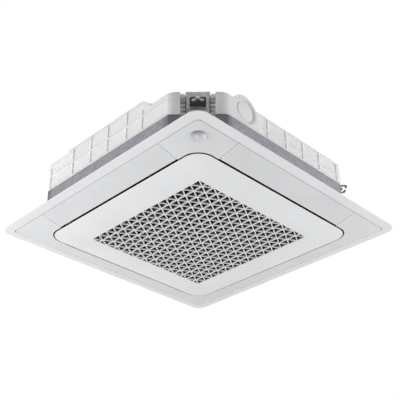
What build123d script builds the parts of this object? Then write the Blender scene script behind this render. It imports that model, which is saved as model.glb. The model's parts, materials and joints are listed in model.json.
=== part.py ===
from build123d import *
import os
from math import cos, pi, radians, sin, sqrt

# Four-way ceiling cassette air conditioner. Millimetres, +Z up, origin under the middle of the intake
# grille at its lowest point. The ceiling touches the panel's rim at z = panel_depth, and the body hangs
# above it. Front is -Y, left is -X. "Out" is a distance from the middle over a side or a corner.

os.makedirs("parts", exist_ok=True)

# ------------------------------------------------------------------ driving dimensions: panel
panel_side = 950.0
panel_depth = 35.0
panel_corner_radius = 39.0
rim_edge = 3.5
rim_width = 32.0
rim_drop = 2.8
seam_corner_radius = 14.0
seam = 1.5
skin = 3.0
frame_plate = 2.5
opening_side = 677.0
opening_corner_radius = 90.0
ring_wall = 6.0
ring_clearance = 1.5
slot_reach = 54.0
slot_end_room = 7.0
cross_rib = 7.0

# ------------------------------------------------------------------ driving dimensions: intake grille
grille_side = 720.0
grille_corner_radius = 55.0
grille_edge_height = 10.0
grille_edge_wall = 4.0
grille_edge_rise = 3.0
grille_edge_lip = 1.0
grille_undercut = 3.0
grille_flat_side = 543.0
grille_flat_radius = 36.0
lattice_pitch = 36.55
lattice_columns = 16
lattice_rows = 14
lattice_bar = 3.2
lattice_depth = 13.0
lattice_border = 6.0
hinge_inset = 2.5
hinge_height = 12.0
hinge_pin_radius = 1.8
hinge_eye_radius = 3.4
hinge_hook_width = 7.0
hinge_hook_reach = 12.4
hinge_hook_leg = 6.4
hinge_hook_low = 18.0
hinge_hook_top = 22.5
hinge_notch_width = 9.0
hinge_notch_depth = 7.0
hinge_boss_top = 15.5
hinge_boss_side = 5.0
hinge_spacing = 400.0
latch_width = 24.0
latch_thickness = 4.0
latch_length = 30.0
latch_reach = 11.5
latch_chamfer = 2.5
latch_rib_pitch = 2.4
latch_rib = 1.0
latch_rib_height = 0.8
latch_spacing = 360.0
latch_guide = 12.0
latch_guide_wall = 4.0
filter_side = 570.0
filter_border = 15.0
filter_bar = 4.0
filter_height = 6.0
filter_mesh_thickness = 0.8

# ------------------------------------------------------------------ driving dimensions: louvres
louvre_gap = 6.0
louvre_length = 556.0
louvre_lip = 4.0
cover_gap = 4.0
cover_boss_out = 530.0
cover_boss_spacing = 100.0
cover_boss_radius = 5.0
pivot_out = 18.5
pivot_drop = 5.0
journal_radius = 2.5
journal_reach = 30.0
arm_width = 10.0
arm_wall = 4.0
arm_inset = 9.0
running = 0.05
bush_width = 14.0
bush_length = 8.0
motor_radius = 11.5
motor_length = 18.0
motor_ear = 40.0
motor_ear_wall = 2.0

# ------------------------------------------------------------------ driving dimensions: body
body_side = 840.0
body_height = 204.0
body_lift = 11.0
corner_out = 510.0
service_corner_out = 474.0
corner_round = 45.0
shoulder_height = 176.0
shoulder_width = 45.0
shoulder_round = 14.0
wall = 24.0
roof = 12.5
lid = 1.5
band_height = 90.0
band_corner_out = 505.0
band_inset = 2.0
band_sheet = 1.5
band_flange = 20.0
seal_width = 12.0
rib = 6.0
wide_rib = 14.0
bay_depth = 3.0
knockout_radius = 54.0
knockout_disc_radius = 44.0
knockout_along = 217.0
knockout_height = 155.0
fit = 0.3
flush_length = 376.0
flush_shift = 8.0
flush_rise_run = 35.0
flush_step_length = 104.0
flush_step_drop = 8.5
flush_step_round = 15.0
knockout_plug = 12.0

# ------------------------------------------------------------------ driving dimensions: hanger brackets
bracket_out = 466.0
bracket_sheet = 4.0
bracket_width = 74.0
bracket_rise = 202.0
flange_reach = 8.0
flange_sheet = 2.0
hook_height = 155.0
hook_sheet = 3.0
hook_reach = 50.0
hook_width = 50.0
pocket_spacing = 25.0
pocket_radius = 6.5
pocket_inset = 13.0
mouth_width = 13.0
foot_reach = 26.0
panel_screw_hole = 3.0
panel_screw_radius = 2.4
panel_screw_head = 5.0
panel_screw_head_height = 3.5
screw_head = 6.0
recess_width = 104.0
ladder_steps = 5
ladder_pitch = 15.5
ladder_foot = 122.0
ladder_step = 5.0
ladder_reach = 9.0

# ------------------------------------------------------------------ driving dimensions: inside
pan_side = 690.0
pan_height = 29.0
pan_floor = 11.0
pan_bore_radius = 240.0
coil_side = 660.0
coil_depth = 44.0
coil_corner_radius = 100.0
coil_room = 4.0
coil_opening = 215.0
coil_plate = 1.5
tube_radius = 4.0
tube_rows = 6
header_out = 405.0
header_radius = 8.0
feeder_radius = 5.0
throat_radius = 158.0
throat_wall = 2.5
throat_flare = 44.0
throat_lip = 6.0
mouth_plate = 3.0
mouth_plate_side = 640.0
mouth_screw_spacing = 580.0
mouth_screw_radius = 2.0
mouth_screw_length = 11.0
fan_radius = 235.0
fan_inlet_radius = 166.0
fan_height = 108.0
fan_blades = 7
fan_wall = 2.5
fan_roof_drop = 21.0
fan_collar = 15.0
blade_inner_radius = 150.0
blade_outer_radius = 229.0
blade_sweep = 38.0
blade_bow = 120.0
dome_radius = 84.0
dome_foot_radius = 70.0
dome_drop = 66.0
hub_radius = 14.0
hub_length = 20.0
hub_drop = 10.0
fan_nut_radius = 10.0
fan_nut_height = 8.0
shaft_radius = 6.0
fan_motor_radius = 66.0
fan_motor_height = 70.0
motor_flange_radius = 88.0
motor_flange = 3.0
grommet_radius = 9.0
grommet_circle = 78.0
grommet_height = 8.5
grommets = 3
box_length = 380.0
box_width = 106.0
box_height = 19.0
box_out = 226.0
box_wall = 1.5
board_length = 230.0
board_width = 80.0
board_drop = 6.0
terminal_length = 80.0
terminal_width = 60.0
pump_out = 410.0
pump_radius = 24.0
pump_height = 40.0
pump_motor_radius = 20.0
pump_motor_height = 44.0
sump_room = 2.0
spigot_reach = 8.0
spigot_height = 32.0
impeller_radius = 15.0
impeller_height = 8.0
impeller_room = 2.0
impeller_vane = 2.0
impeller_shaft_radius = 2.0
impeller_shaft_length = 46.0
hose_radius = 9.0
hose_bore = 7.0
hose_bend = 21.6
drain_radius = 16.0
drain_bore = 13.0
drain_height = 200.0
drain_along = -78.0
gas_radius = 7.94
liquid_radius = 4.76
pipe_wall = 1.0
pipe_along = 80.0
gas_height = 150.0
liquid_height = 196.0
pipe_reach = 56.0
union_length = 20.0
union_wall = 6.0
thread_length = 14.0
gas_thread_radius = 11.1
liquid_thread_radius = 7.9
pipe_cover_width = 49.0
pipe_cover_margin = 18.0
float_out = 362.0
float_radius = 12.0
float_height = 14.0
float_rod_radius = 3.0
float_rod_height = 58.0
sensor_out = 556.0
sensor_radius = 22.5
sensor_wall = 2.0
sensor_cap_thickness = 2.0
sensor_cap_chamfer = 0.8

# ribs on the walls, as distances along each wall from its middle
left_wall_ribs = (-290.0, -168.0, -73.0, 12.0, 104.0, 177.0, 292.0)
front_wall_ribs = (-150.0, -115.0, -27.0, 57.0, 142.0, 235.0)
left_rail_height = 156.0
front_rail_height = 132.0
front_bay_height = 173.0

# ------------------------------------------------------------------ worked-out levels and distances
SIDES = {"right": 0.0, "back": 90.0, "left": 180.0, "front": 270.0}
CORNERS = {"back_right": 45.0, "back_left": 135.0, "front_left": 225.0, "front_right": 315.0}

ceiling_z = panel_depth
rim_low_z = ceiling_z - rim_edge
seam_z = rim_low_z - rim_drop
plate_z = ceiling_z - frame_plate
seam_half = panel_side / 2 - rim_width
grille_half = grille_side / 2
grille_top_z = grille_edge_height + grille_edge_rise
opening_half = opening_side / 2
ring_half = opening_half + ring_wall
ring_z = grille_top_z + ring_clearance
slot_half = louvre_length / 2 + slot_end_room
pivot_r = grille_half + pivot_out
pivot_z = ceiling_z - pivot_drop
louvre_in = grille_half + louvre_gap
louvre_out = seam_half - seam
end_arm = louvre_length / 2 - arm_inset
journal_end = end_arm + arm_wall / 2 + journal_reach
bush_at = slot_half + fit + bush_length / 2
motor_at = bush_at + bush_length / 2 + fit

body_z = ceiling_z + body_lift
body_top_z = body_z + body_height
body_half = body_side / 2
shoulder_z = body_z + shoulder_height
band_top_z = body_z + band_height
roof_z = body_top_z - lid
cavity_top_z = roof_z - roof
cavity_half = body_half - wall
cavity_out = bracket_out - wall
band_half = body_half - band_inset
block_half = body_half - shoulder_width
block_out = service_corner_out - shoulder_width / 2
block_cavity_half = block_half - roof

pan_z = body_z + mouth_plate + fit
pan_floor_z = pan_z + pan_floor
coil_half = coil_side / 2
fan_roof_z = cavity_top_z - fan_roof_drop + fan_wall
fan_low_z = fan_roof_z - fan_height
hub_z = fan_roof_z - dome_drop
hub_low_z = hub_z - hub_drop
flange_z = roof_z - grommet_height
motor_low_z = flange_z - motor_flange - fan_motor_height


def bevel_z(out):
    """Height of the panel's sloping underside, between the intake grille and the seam in the rim."""
    slope = (seam_z - grille_edge_height) / (seam_half - grille_half)
    return grille_edge_height + slope * (out - grille_half)


def plan(angle, height=0.0):
    """Level plane whose sketch x runs out over the side or corner at this angle."""
    turn = radians(angle)
    return Plane(origin=(0, 0, height), x_dir=(cos(turn), sin(turn), 0), z_dir=(0, 0, 1))


def upright(angle, along=0.0):
    """Upright plane across a side: sketch x runs out, sketch y runs up, and along is where it stands."""
    turn = radians(angle)
    foot = (-sin(turn) * along, cos(turn) * along, 0)
    return Plane(origin=foot, x_dir=(cos(turn), sin(turn), 0), z_dir=(sin(turn), -cos(turn), 0))


def facing(angle, out=0.0):
    """Upright plane that faces out over a side or a corner: sketch x runs along it, sketch y runs up."""
    turn = radians(angle)
    foot = (cos(turn) * out, sin(turn) * out, 0)
    return Plane(origin=foot, x_dir=(-sin(turn), cos(turn), 0), z_dir=(cos(turn), sin(turn), 0))


def body_outline(half, left_out, right_out, rounding=0.0):
    """Square plan with its corners cut off: left_out and right_out are where the cut faces stand."""
    with BuildSketch() as outline:
        Rectangle(2 * half, 2 * half)
        for angle in CORNERS.values():
            out = left_out if cos(radians(angle)) < 0 else right_out
            with Locations(Location((0, 0, 0), angle)):
                with Locations((out + half, 0)):
                    Rectangle(2 * half, 4 * half, mode=Mode.SUBTRACT)
        if rounding > 0:
            fillet(outline.vertices().group_by(Axis.X)[0] + outline.vertices().group_by(Axis.X)[1], rounding)
    return outline.sketch


def corner_recesses(out, width):
    """Rectangles in plan, one over each corner, that start at the distance out and are this wide."""
    with BuildSketch() as recesses:
        for angle in CORNERS.values():
            with Locations(Location((0, 0, 0), angle)):
                with Locations((out + recess_width / 2, 0)):
                    Rectangle(recess_width, width)
    return recesses.sketch


# ------------------------------------------------------------------ decorative panel
# The frame is a plate under the ceiling with a rim round it, a ring wall round the intake and a slot
# for each louvre.
with BuildPart() as panel_frame:
    with BuildSketch(Plane.XY.offset(rim_low_z)):
        RectangleRounded(panel_side, panel_side, panel_corner_radius)
    extrude(amount=rim_edge)
    with BuildSketch(Plane.XY.offset(rim_low_z)):
        RectangleRounded(panel_side, panel_side, panel_corner_radius)
    with BuildSketch(Plane.XY.offset(seam_z)):
        RectangleRounded(2 * seam_half, 2 * seam_half, seam_corner_radius)
    loft(ruled=True)
    with BuildSketch(Plane.XY.offset(seam_z)):
        RectangleRounded(2 * seam_half, 2 * seam_half, seam_corner_radius)
    extrude(amount=plate_z - seam_z, mode=Mode.SUBTRACT)
    with BuildSketch(Plane.XY.offset(ring_z)):
        RectangleRounded(2 * ring_half, 2 * ring_half, opening_corner_radius + ring_wall)
    extrude(amount=body_z - ring_z)
    with BuildSketch(Plane.XY.offset(ring_z)):
        RectangleRounded(opening_side, opening_side, opening_corner_radius)
    extrude(amount=body_z - ring_z, mode=Mode.SUBTRACT)
    for angle in SIDES.values():
        with BuildSketch(plan(angle, plate_z)):
            with Locations((ring_half + slot_reach / 2, 0)):
                Rectangle(slot_reach, 2 * slot_half)
        extrude(amount=frame_plate, mode=Mode.SUBTRACT)
        # a rib bridges each slot and carries the middle of its louvre
        with BuildSketch(upright(angle)):
            with Locations((ring_half + slot_reach / 2, ceiling_z - skin / 2)):
                Rectangle(slot_reach + 2 * fit, skin)
            with Locations((pivot_r, pivot_z)):
                Circle(pivot_drop)
        extrude(amount=cross_rib / 2, both=True)
        with BuildSketch(upright(angle)):
            with Locations((pivot_r, pivot_z)):
                Circle(journal_radius + running)
        extrude(amount=cross_rib / 2, both=True, mode=Mode.SUBTRACT)
        # window in the corner plate for the louvre's motor
        with BuildSketch(plan(angle, plate_z)):
            with Locations((pivot_r, motor_at + motor_ear_wall + motor_length / 2)):
                Rectangle(2 * motor_radius + 2 * seam, motor_length + 2 * seam)
        extrude(amount=frame_plate, mode=Mode.SUBTRACT)
    for angle in CORNERS.values():
        with BuildSketch(plan(angle, plate_z)):
            with Locations((bracket_out + foot_reach / 2, 0)):
                Circle(panel_screw_hole)
        extrude(amount=frame_plate, mode=Mode.SUBTRACT)
    # notches under which the two latches slip out of the ring wall
    for along in (-latch_spacing / 2, latch_spacing / 2):
        with BuildSketch(plan(SIDES["left"], ring_z)):
            with Locations((opening_half + ring_wall / 2, along)):
                Rectangle(ring_wall + 2 * seam, latch_width + 2 * seam)
        extrude(amount=latch_thickness + 2 * seam, mode=Mode.SUBTRACT)
panel_frame.part.label = "panel_frame"
export_step(panel_frame.part, "parts/panel_frame.step")


# The four corner covers share one skin that slopes from the seam down to the intake grille.
def bevel_block(lift, grow):
    """Solid above the sloping underside, raised by lift, with its outer wall carried up by grow."""
    cover_half = seam_half - seam
    inner_half = grille_half + cover_gap
    with BuildPart() as block:
        with BuildSketch(Plane.XY.offset(bevel_z(cover_half) + lift)):
            RectangleRounded(2 * cover_half, 2 * cover_half, seam_corner_radius)
        with BuildSketch(Plane.XY.offset(bevel_z(inner_half) + lift)):
            RectangleRounded(2 * inner_half, 2 * inner_half, grille_corner_radius + cover_gap)
        loft(ruled=True)
        with BuildSketch(Plane.XY.offset(bevel_z(cover_half) + lift)):
            RectangleRounded(2 * cover_half, 2 * cover_half, seam_corner_radius)
        extrude(amount=grow)
    return block.part


def corner_cover(name, angle):
    """Cover between two louvres, with a round recess for the sensor cap on the front left one."""
    cut = louvre_length / 2 + seam
    inner_side = grille_side + 2 * cover_gap
    boss_z = bevel_z((cover_boss_out + cover_boss_spacing / 2) / sqrt(2)) + skin / 2
    with BuildPart() as cover:
        add(bevel_block(0, skin))
        add(bevel_block(skin, skin), mode=Mode.SUBTRACT)
        if name == "front_left":
            with BuildSketch(plan(angle, 0)):
                with Locations((sensor_out, 0)):
                    Circle(sensor_radius + sensor_wall)
            extrude(amount=seam_z + skin)
            with BuildSketch(plan(angle, 0)):
                with Locations((sensor_out, 0)):
                    Circle(sensor_radius)
            extrude(amount=plate_z, mode=Mode.SUBTRACT)
            add(bevel_block(0, skin), mode=Mode.INTERSECT)
        with BuildSketch():
            RectangleRounded(inner_side, inner_side, grille_corner_radius + cover_gap)
        extrude(amount=plate_z, mode=Mode.SUBTRACT)
        with BuildSketch(plan(angle - 45)):
            with Locations((cut + panel_side / 2, cut + panel_side / 2)):
                Rectangle(panel_side, panel_side)
        extrude(amount=plate_z, mode=Mode.INTERSECT)
        # two bosses by which the cover is fixed to the frame's plate
        with BuildSketch(plan(angle, boss_z)):
            with GridLocations(0, cover_boss_spacing, 1, 2):
                with Locations((cover_boss_out, 0)):
                    Circle(cover_boss_radius)
        extrude(amount=plate_z - boss_z)
    cover.part.label = f"corner_cover_{name}"
    export_step(cover.part, f"parts/corner_cover_{name}.step")


for corner, corner_angle in CORNERS.items():
    corner_cover(corner, corner_angle)

with BuildPart() as sensor_cap:
    with BuildSketch(plan(CORNERS["front_left"], bevel_z(seam_half) - skin + fit)):
        with Locations((sensor_out, 0)):
            Circle(sensor_radius - fit)
    extrude(amount=sensor_cap_thickness)
    chamfer(sensor_cap.faces().sort_by(Axis.Z)[0].edges(), sensor_cap_chamfer)
sensor_cap.part.label = "sensor_cap"
export_step(sensor_cap.part, "parts/sensor_cap.step")

# Screws that hold the panel frame up to the feet of the hanger brackets.
with BuildPart() as panel_screws:
    for angle in CORNERS.values():
        with BuildSketch(plan(angle, plate_z)):
            with Locations((bracket_out + foot_reach / 2, 0)):
                Circle(panel_screw_head)
        extrude(amount=-panel_screw_head_height)
        with BuildSketch(plan(angle, plate_z)):
            with Locations((bracket_out + foot_reach / 2, 0)):
                Circle(panel_screw_radius)
        extrude(amount=body_lift + 2 * frame_plate + bracket_sheet)
panel_screws.part.label = "panel_screws"
export_step(panel_screws.part, "parts/panel_screws.step")

# Foam seal between the panel and the body.
with BuildPart() as panel_seal:
    with BuildSketch(Plane.XY.offset(ceiling_z)):
        inner_out = band_corner_out - seal_width
        inner_service_out = service_corner_out - seal_width
        add(body_outline(band_half, band_corner_out, service_corner_out))
        add(body_outline(band_half - seal_width, inner_out, inner_service_out), mode=Mode.SUBTRACT)
        add(corner_recesses(bracket_out - 2 * screw_head, recess_width), mode=Mode.SUBTRACT)
        for angle in SIDES.values():
            with Locations(Location((0, 0, 0), angle)):
                with Locations((pivot_r, motor_at + motor_ear_wall + motor_length / 2)):
                    Rectangle(2 * motor_radius + 2 * seam, motor_length + 2 * seam, mode=Mode.SUBTRACT)
    extrude(amount=body_lift)
panel_seal.part.label = "panel_seal"
export_step(panel_seal.part, "parts/panel_seal.step")


# ------------------------------------------------------------------ louvres, bushes and their motors
def louvre(side, angle):
    """Blade on the sloping underside, lipped inside, with two end journals and a forked middle pin."""
    fork_arm = cross_rib / 2 + fit + arm_wall / 2
    pin_end = fork_arm + arm_wall / 2
    with BuildPart() as blade:
        with BuildSketch(upright(angle)):
            with BuildLine():
                Polyline(
                    (louvre_in, bevel_z(louvre_in)),
                    (louvre_out, bevel_z(louvre_out)),
                    (louvre_out, bevel_z(louvre_out) + skin),
                    (louvre_in + skin, bevel_z(louvre_in + skin) + skin),
                    (louvre_in + skin, bevel_z(louvre_in) + louvre_lip),
                    (louvre_in, bevel_z(louvre_in) + louvre_lip),
                    close=True,
                )
            make_face()
        extrude(amount=louvre_length / 2, both=True)
        for along in (-end_arm, -fork_arm, fork_arm, end_arm):
            with BuildSketch(upright(angle, along)):
                with BuildLine():
                    Polyline(
                        (pivot_r - arm_width / 2, bevel_z(pivot_r - arm_width / 2) + skin / 2),
                        (pivot_r + arm_width, bevel_z(pivot_r + arm_width) + skin / 2),
                        (pivot_r + arm_width / 2, pivot_z),
                        (pivot_r - arm_width / 2, pivot_z),
                        close=True,
                    )
                make_face()
                with Locations((pivot_r, pivot_z)):
                    Circle(arm_width / 2)
            extrude(amount=arm_wall / 2, both=True)
        with BuildSketch(upright(angle)):
            with Locations((pivot_r, pivot_z)):
                Circle(journal_radius)
        extrude(amount=pin_end, both=True)
        for far_end in (journal_end, -end_arm):
            with BuildSketch(upright(angle, far_end)):
                with Locations((pivot_r, pivot_z)):
                    Circle(journal_radius)
            extrude(amount=journal_end - end_arm)
    blade.part.label = f"louvre_{side}"
    export_step(blade.part, f"parts/louvre_{side}.step")


def louvre_motor(side, angle):
    """Small geared motor on the louvre's journal, hung by its ears from the frame's plate."""
    bore_depth = journal_end + seam - motor_at
    with BuildPart() as motor:
        with BuildSketch(upright(angle, motor_at + motor_ear_wall + motor_length)):
            with Locations((pivot_r, pivot_z)):
                Circle(motor_radius)
        extrude(amount=motor_length)
        with BuildSketch(upright(angle, motor_at + motor_ear_wall)):
            with Locations((pivot_r, (plate_z + pivot_z - journal_radius - skin) / 2)):
                Rectangle(motor_ear, plate_z - pivot_z + journal_radius + skin)
        extrude(amount=motor_ear_wall)
        with BuildSketch(upright(angle, motor_at + bore_depth)):
            with Locations((pivot_r, pivot_z)):
                Circle(journal_radius + running)
        extrude(amount=bore_depth, mode=Mode.SUBTRACT)
    motor.part.label = f"louvre_motor_{side}"
    export_step(motor.part, f"parts/louvre_motor_{side}.step")


for side_name, side_angle in SIDES.items():
    louvre(side_name, side_angle)
    louvre_motor(side_name, side_angle)

with BuildPart() as louvre_bushes:
    for angle in SIDES.values():
        for along in (-bush_at, bush_at):
            with BuildSketch(upright(angle, along)):
                with Locations((pivot_r, (plate_z + pivot_z - journal_radius - skin) / 2)):
                    Rectangle(bush_width, plate_z - pivot_z + journal_radius + skin)
                with Locations((pivot_r, pivot_z)):
                    Circle(journal_radius + running, mode=Mode.SUBTRACT)
            extrude(amount=bush_length / 2, both=True)
louvre_bushes.part.label = "louvre_bushes"
export_step(louvre_bushes.part, "parts/louvre_bushes.step")


# ------------------------------------------------------------------ intake grille
# A crowned tray whose middle is a lattice of three families of bars, one of them along Y.
def crown(lift, inset, rise):
    """Solid above the grille's crowned underside, raised by lift, its outline drawn in by inset."""
    edge_half = grille_half - inset
    flat_half = grille_flat_side / 2 - inset
    middle_half = (edge_half + flat_half) / 2
    middle_radius = (grille_corner_radius + grille_flat_radius) / 2
    with BuildPart() as body:
        with BuildSketch(Plane.XY.offset(lift)):
            RectangleRounded(2 * flat_half, 2 * flat_half, grille_flat_radius - inset)
        with BuildSketch(Plane.XY.offset(lift + grille_edge_height / 4)):
            RectangleRounded(2 * middle_half, 2 * middle_half, middle_radius - inset)
        with BuildSketch(Plane.XY.offset(lift + grille_edge_height)):
            RectangleRounded(2 * edge_half, 2 * edge_half, grille_corner_radius - inset)
        loft()
        with BuildSketch(Plane.XY.offset(lift + grille_edge_height)):
            RectangleRounded(2 * edge_half, 2 * edge_half, grille_corner_radius - inset)
        extrude(amount=rise)
    return body.part


lattice_column = lattice_pitch * sqrt(3) / 2
lattice_x = lattice_columns * lattice_column
lattice_y = lattice_rows * lattice_pitch
hole_radius = lattice_pitch / sqrt(3) - lattice_bar


def lattice_centres(third):
    """Middles of the triangles of one hand: third is how far across its column each one stands."""
    centres = []
    for column in range(lattice_columns):
        shift = ((column + third) % 2) / 2
        for row in range(lattice_rows + 1):
            x = (column + third / 3) * lattice_column - lattice_x / 2
            centres.append((x, (row + shift) * lattice_pitch - lattice_y / 2))
    return centres


with BuildSketch() as lattice_holes:
    with Locations(*lattice_centres(1)):
        RegularPolygon(hole_radius, 3)
    with Locations(*lattice_centres(2)):
        RegularPolygon(hole_radius, 3, rotation=180)
    Rectangle(lattice_x, lattice_y, mode=Mode.INTERSECT)

with BuildPart() as lattice:
    with BuildSketch():
        Rectangle(lattice_x + 2 * lattice_border, lattice_y + 2 * lattice_border)
        add(lattice_holes.sketch, mode=Mode.SUBTRACT)
    extrude(amount=lattice_depth)

hinge_r = grille_half - hinge_inset
latch_end = opening_half + latch_reach
latch_z = grille_top_z + seam
with BuildPart() as intake_grille:
    add(crown(0, 0, grille_edge_lip))
    # above its thin lip the edge is undercut
    undercut_side = grille_side - 2 * grille_undercut
    with BuildSketch(Plane.XY.offset(grille_edge_height + grille_edge_lip)):
        RectangleRounded(grille_side, grille_side, grille_corner_radius)
    with BuildSketch(Plane.XY.offset(grille_top_z)):
        RectangleRounded(undercut_side, undercut_side, grille_corner_radius - grille_undercut)
    loft(ruled=True)
    add(crown(skin, grille_edge_wall, grille_edge_rise), mode=Mode.SUBTRACT)
    with BuildSketch():
        Rectangle(lattice_x + 2 * lattice_border, lattice_y + 2 * lattice_border)
    extrude(amount=lattice_depth, mode=Mode.SUBTRACT)
    # pins in the right edge that hang on the frame's hooks
    boss_low = grille_edge_height + skin / 2
    for along in (-hinge_spacing / 2, hinge_spacing / 2):
        with BuildSketch(upright(0, along)):
            with Locations((grille_half - hinge_notch_depth / 2, (boss_low + hinge_boss_top) / 2)):
                Rectangle(hinge_notch_depth, hinge_boss_top - boss_low)
        extrude(amount=hinge_notch_width / 2 + hinge_boss_side, both=True)
        with BuildSketch(plan(0, 0)):
            with Locations((grille_half - hinge_notch_depth / 2 + seam, along)):
                Rectangle(hinge_notch_depth + 2 * seam, hinge_notch_width)
        extrude(amount=hinge_boss_top + fit, mode=Mode.SUBTRACT)
        with BuildSketch(upright(0, along)):
            with Locations((hinge_r, hinge_height)):
                Circle(hinge_pin_radius)
        extrude(amount=hinge_notch_width / 2 + hinge_boss_side / 2, both=True)
    # guides that the two latches slide between
    guide_r = latch_end - latch_length + latch_guide / 2 + latch_guide_wall / 2
    guide_z = grille_edge_height - skin
    for along in (-latch_spacing / 2, latch_spacing / 2):
        with BuildSketch(plan(SIDES["left"], guide_z)):
            with Locations((guide_r, along)):
                Rectangle(latch_guide, latch_width + 2 * fit + 2 * latch_guide_wall)
        extrude(amount=latch_z + latch_thickness - guide_z)
        with BuildSketch(plan(SIDES["left"], latch_z - fit)):
            with Locations((guide_r, along)):
                Rectangle(latch_guide, latch_width + 2 * fit)
        extrude(amount=latch_thickness + fit, mode=Mode.SUBTRACT)
    add(lattice.part)
intake_grille.part.label = "intake_grille"
export_step(intake_grille.part, "parts/intake_grille.step")

for latch_name, along in (("front", latch_spacing / 2), ("back", -latch_spacing / 2)):
    with BuildPart() as grille_latch:
        with BuildSketch(plan(SIDES["left"], latch_z)):
            with Locations((latch_end - latch_length / 2, along)):
                Rectangle(latch_length, latch_width)
        extrude(amount=latch_thickness)
        end_edges = grille_latch.faces().sort_by(Axis.X)[0].edges().filter_by(Axis.Y)
        chamfer(end_edges.sort_by(Axis.Z)[-1], latch_chamfer)
        with BuildSketch(plan(SIDES["left"], latch_z + latch_thickness)):
            with GridLocations(latch_rib_pitch, 0, 3, 1):
                with Locations((latch_end - latch_length + latch_guide_wall, along)):
                    Rectangle(latch_rib, latch_width - rib)
        extrude(amount=latch_rib_height)
    grille_latch.part.label = f"grille_latch_{latch_name}"
    export_step(grille_latch.part, f"parts/grille_latch_{latch_name}.step")

with BuildPart() as grille_hinge_hooks:
    hook_end = ring_half + hinge_hook_reach
    leg_low = grille_edge_height + skin
    for along in (-hinge_spacing / 2, hinge_spacing / 2):
        with BuildSketch(upright(0, along)):
            with Locations((ring_half + hinge_hook_reach / 2, (hinge_hook_low + hinge_hook_top) / 2)):
                Rectangle(hinge_hook_reach, hinge_hook_top - hinge_hook_low)
            with Locations((hook_end - hinge_hook_leg / 2, (leg_low + hinge_hook_top) / 2)):
                Rectangle(hinge_hook_leg, hinge_hook_top - leg_low)
            with Locations((hinge_r, hinge_height)):
                Circle(hinge_eye_radius)
            with Locations((hinge_r, hinge_height)):
                Circle(hinge_pin_radius + running, mode=Mode.SUBTRACT)
        extrude(amount=hinge_hook_width / 2, both=True)
grille_hinge_hooks.part.label = "grille_hinge_hooks"
export_step(grille_hinge_hooks.part, "parts/grille_hinge_hooks.step")

with BuildPart() as filter_frame:
    with BuildSketch(Plane.XY.offset(lattice_depth)):
        RectangleRounded(filter_side, filter_side, filter_border)
        Rectangle(filter_side - 2 * filter_border, filter_side - 2 * filter_border, mode=Mode.SUBTRACT)
        with GridLocations(filter_side / 3, 0, 2, 1):
            Rectangle(filter_bar, filter_side - filter_border)
        with GridLocations(0, filter_side / 3, 1, 2):
            Rectangle(filter_side - filter_border, filter_bar)
    extrude(amount=filter_height)
    with BuildSketch(Plane.XY.offset(lattice_depth + filter_height / 2)):
        Rectangle(filter_side - 2 * filter_border, filter_side - 2 * filter_border)
    extrude(amount=filter_mesh_thickness, mode=Mode.SUBTRACT)
filter_frame.part.label = "filter_frame"
export_step(filter_frame.part, "parts/filter_frame.step")

with BuildPart() as filter_mesh:
    with BuildSketch(Plane.XY.offset(lattice_depth + filter_height / 2)):
        Rectangle(filter_side - 2 * filter_border, filter_side - 2 * filter_border)
    extrude(amount=filter_mesh_thickness)
filter_mesh.part.label = "filter_mesh"
export_step(filter_mesh.part, "parts/filter_mesh.step")


# ------------------------------------------------------------------ body: shell, band and lid
def band_outline(inset):
    """Plan of the sheet band, drawn in by inset, with a recess for each hanger bracket."""
    with BuildSketch() as outline:
        add(body_outline(band_half - inset, band_corner_out - inset, service_corner_out - inset))
        add(corner_recesses(bracket_out - inset, recess_width + 2 * inset), mode=Mode.SUBTRACT)
    return outline.sketch


def roof_outline(inset):
    """Plan of the raised top: a cut square, run out flush with two walls for part of their length."""
    half = block_half - inset
    with BuildSketch() as outline:
        add(body_outline(half, block_out - inset, block_out - inset))
        with Locations((-half, flush_shift)):
            Rectangle(2 * shoulder_width, flush_length - 2 * inset)
        with Locations((-flush_shift, half)):
            Rectangle(flush_length - 2 * inset, 2 * shoulder_width)
    return outline.sketch


def flush_wall(angle, hand):
    """Stretch of wall that rises above the shoulder, sloping up at one end and stepped at the other."""
    rise_end = hand * (flush_length / 2 - flush_shift)
    step_start = -hand * (flush_length / 2 + flush_shift)
    step_end = step_start - hand * flush_step_length
    with BuildPart() as block:
        with BuildSketch(facing(angle, block_half)) as profile:
            with BuildLine():
                Polyline(
                    (rise_end + hand * flush_rise_run, shoulder_z - shoulder_round),
                    (rise_end + hand * flush_rise_run, shoulder_z),
                    (rise_end, roof_z),
                    (step_start, roof_z),
                    (step_start, roof_z - flush_step_drop),
                    (step_end, roof_z - flush_step_drop),
                    (step_end, shoulder_z - shoulder_round),
                    close=True,
                )
            make_face()
            step_corner = profile.vertices().sort_by_distance((step_end, roof_z))[0]
            fillet(step_corner, flush_step_round)
        extrude(amount=shoulder_width)
    return block.part


def wall_bays(angle, ribs, low, high):
    """Shallow bays pressed into one wall, between neighbouring ribs."""
    with BuildPart() as bays:
        for first, last in zip(ribs[:-1], ribs[1:]):
            with BuildSketch(facing(angle, body_half - bay_depth)):
                with Locations(((first + last) / 2, (low + high) / 2)):
                    RectangleRounded(last - first - rib, high - low, rib / 2)
            extrude(amount=2 * bay_depth)
    return bays.part


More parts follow.
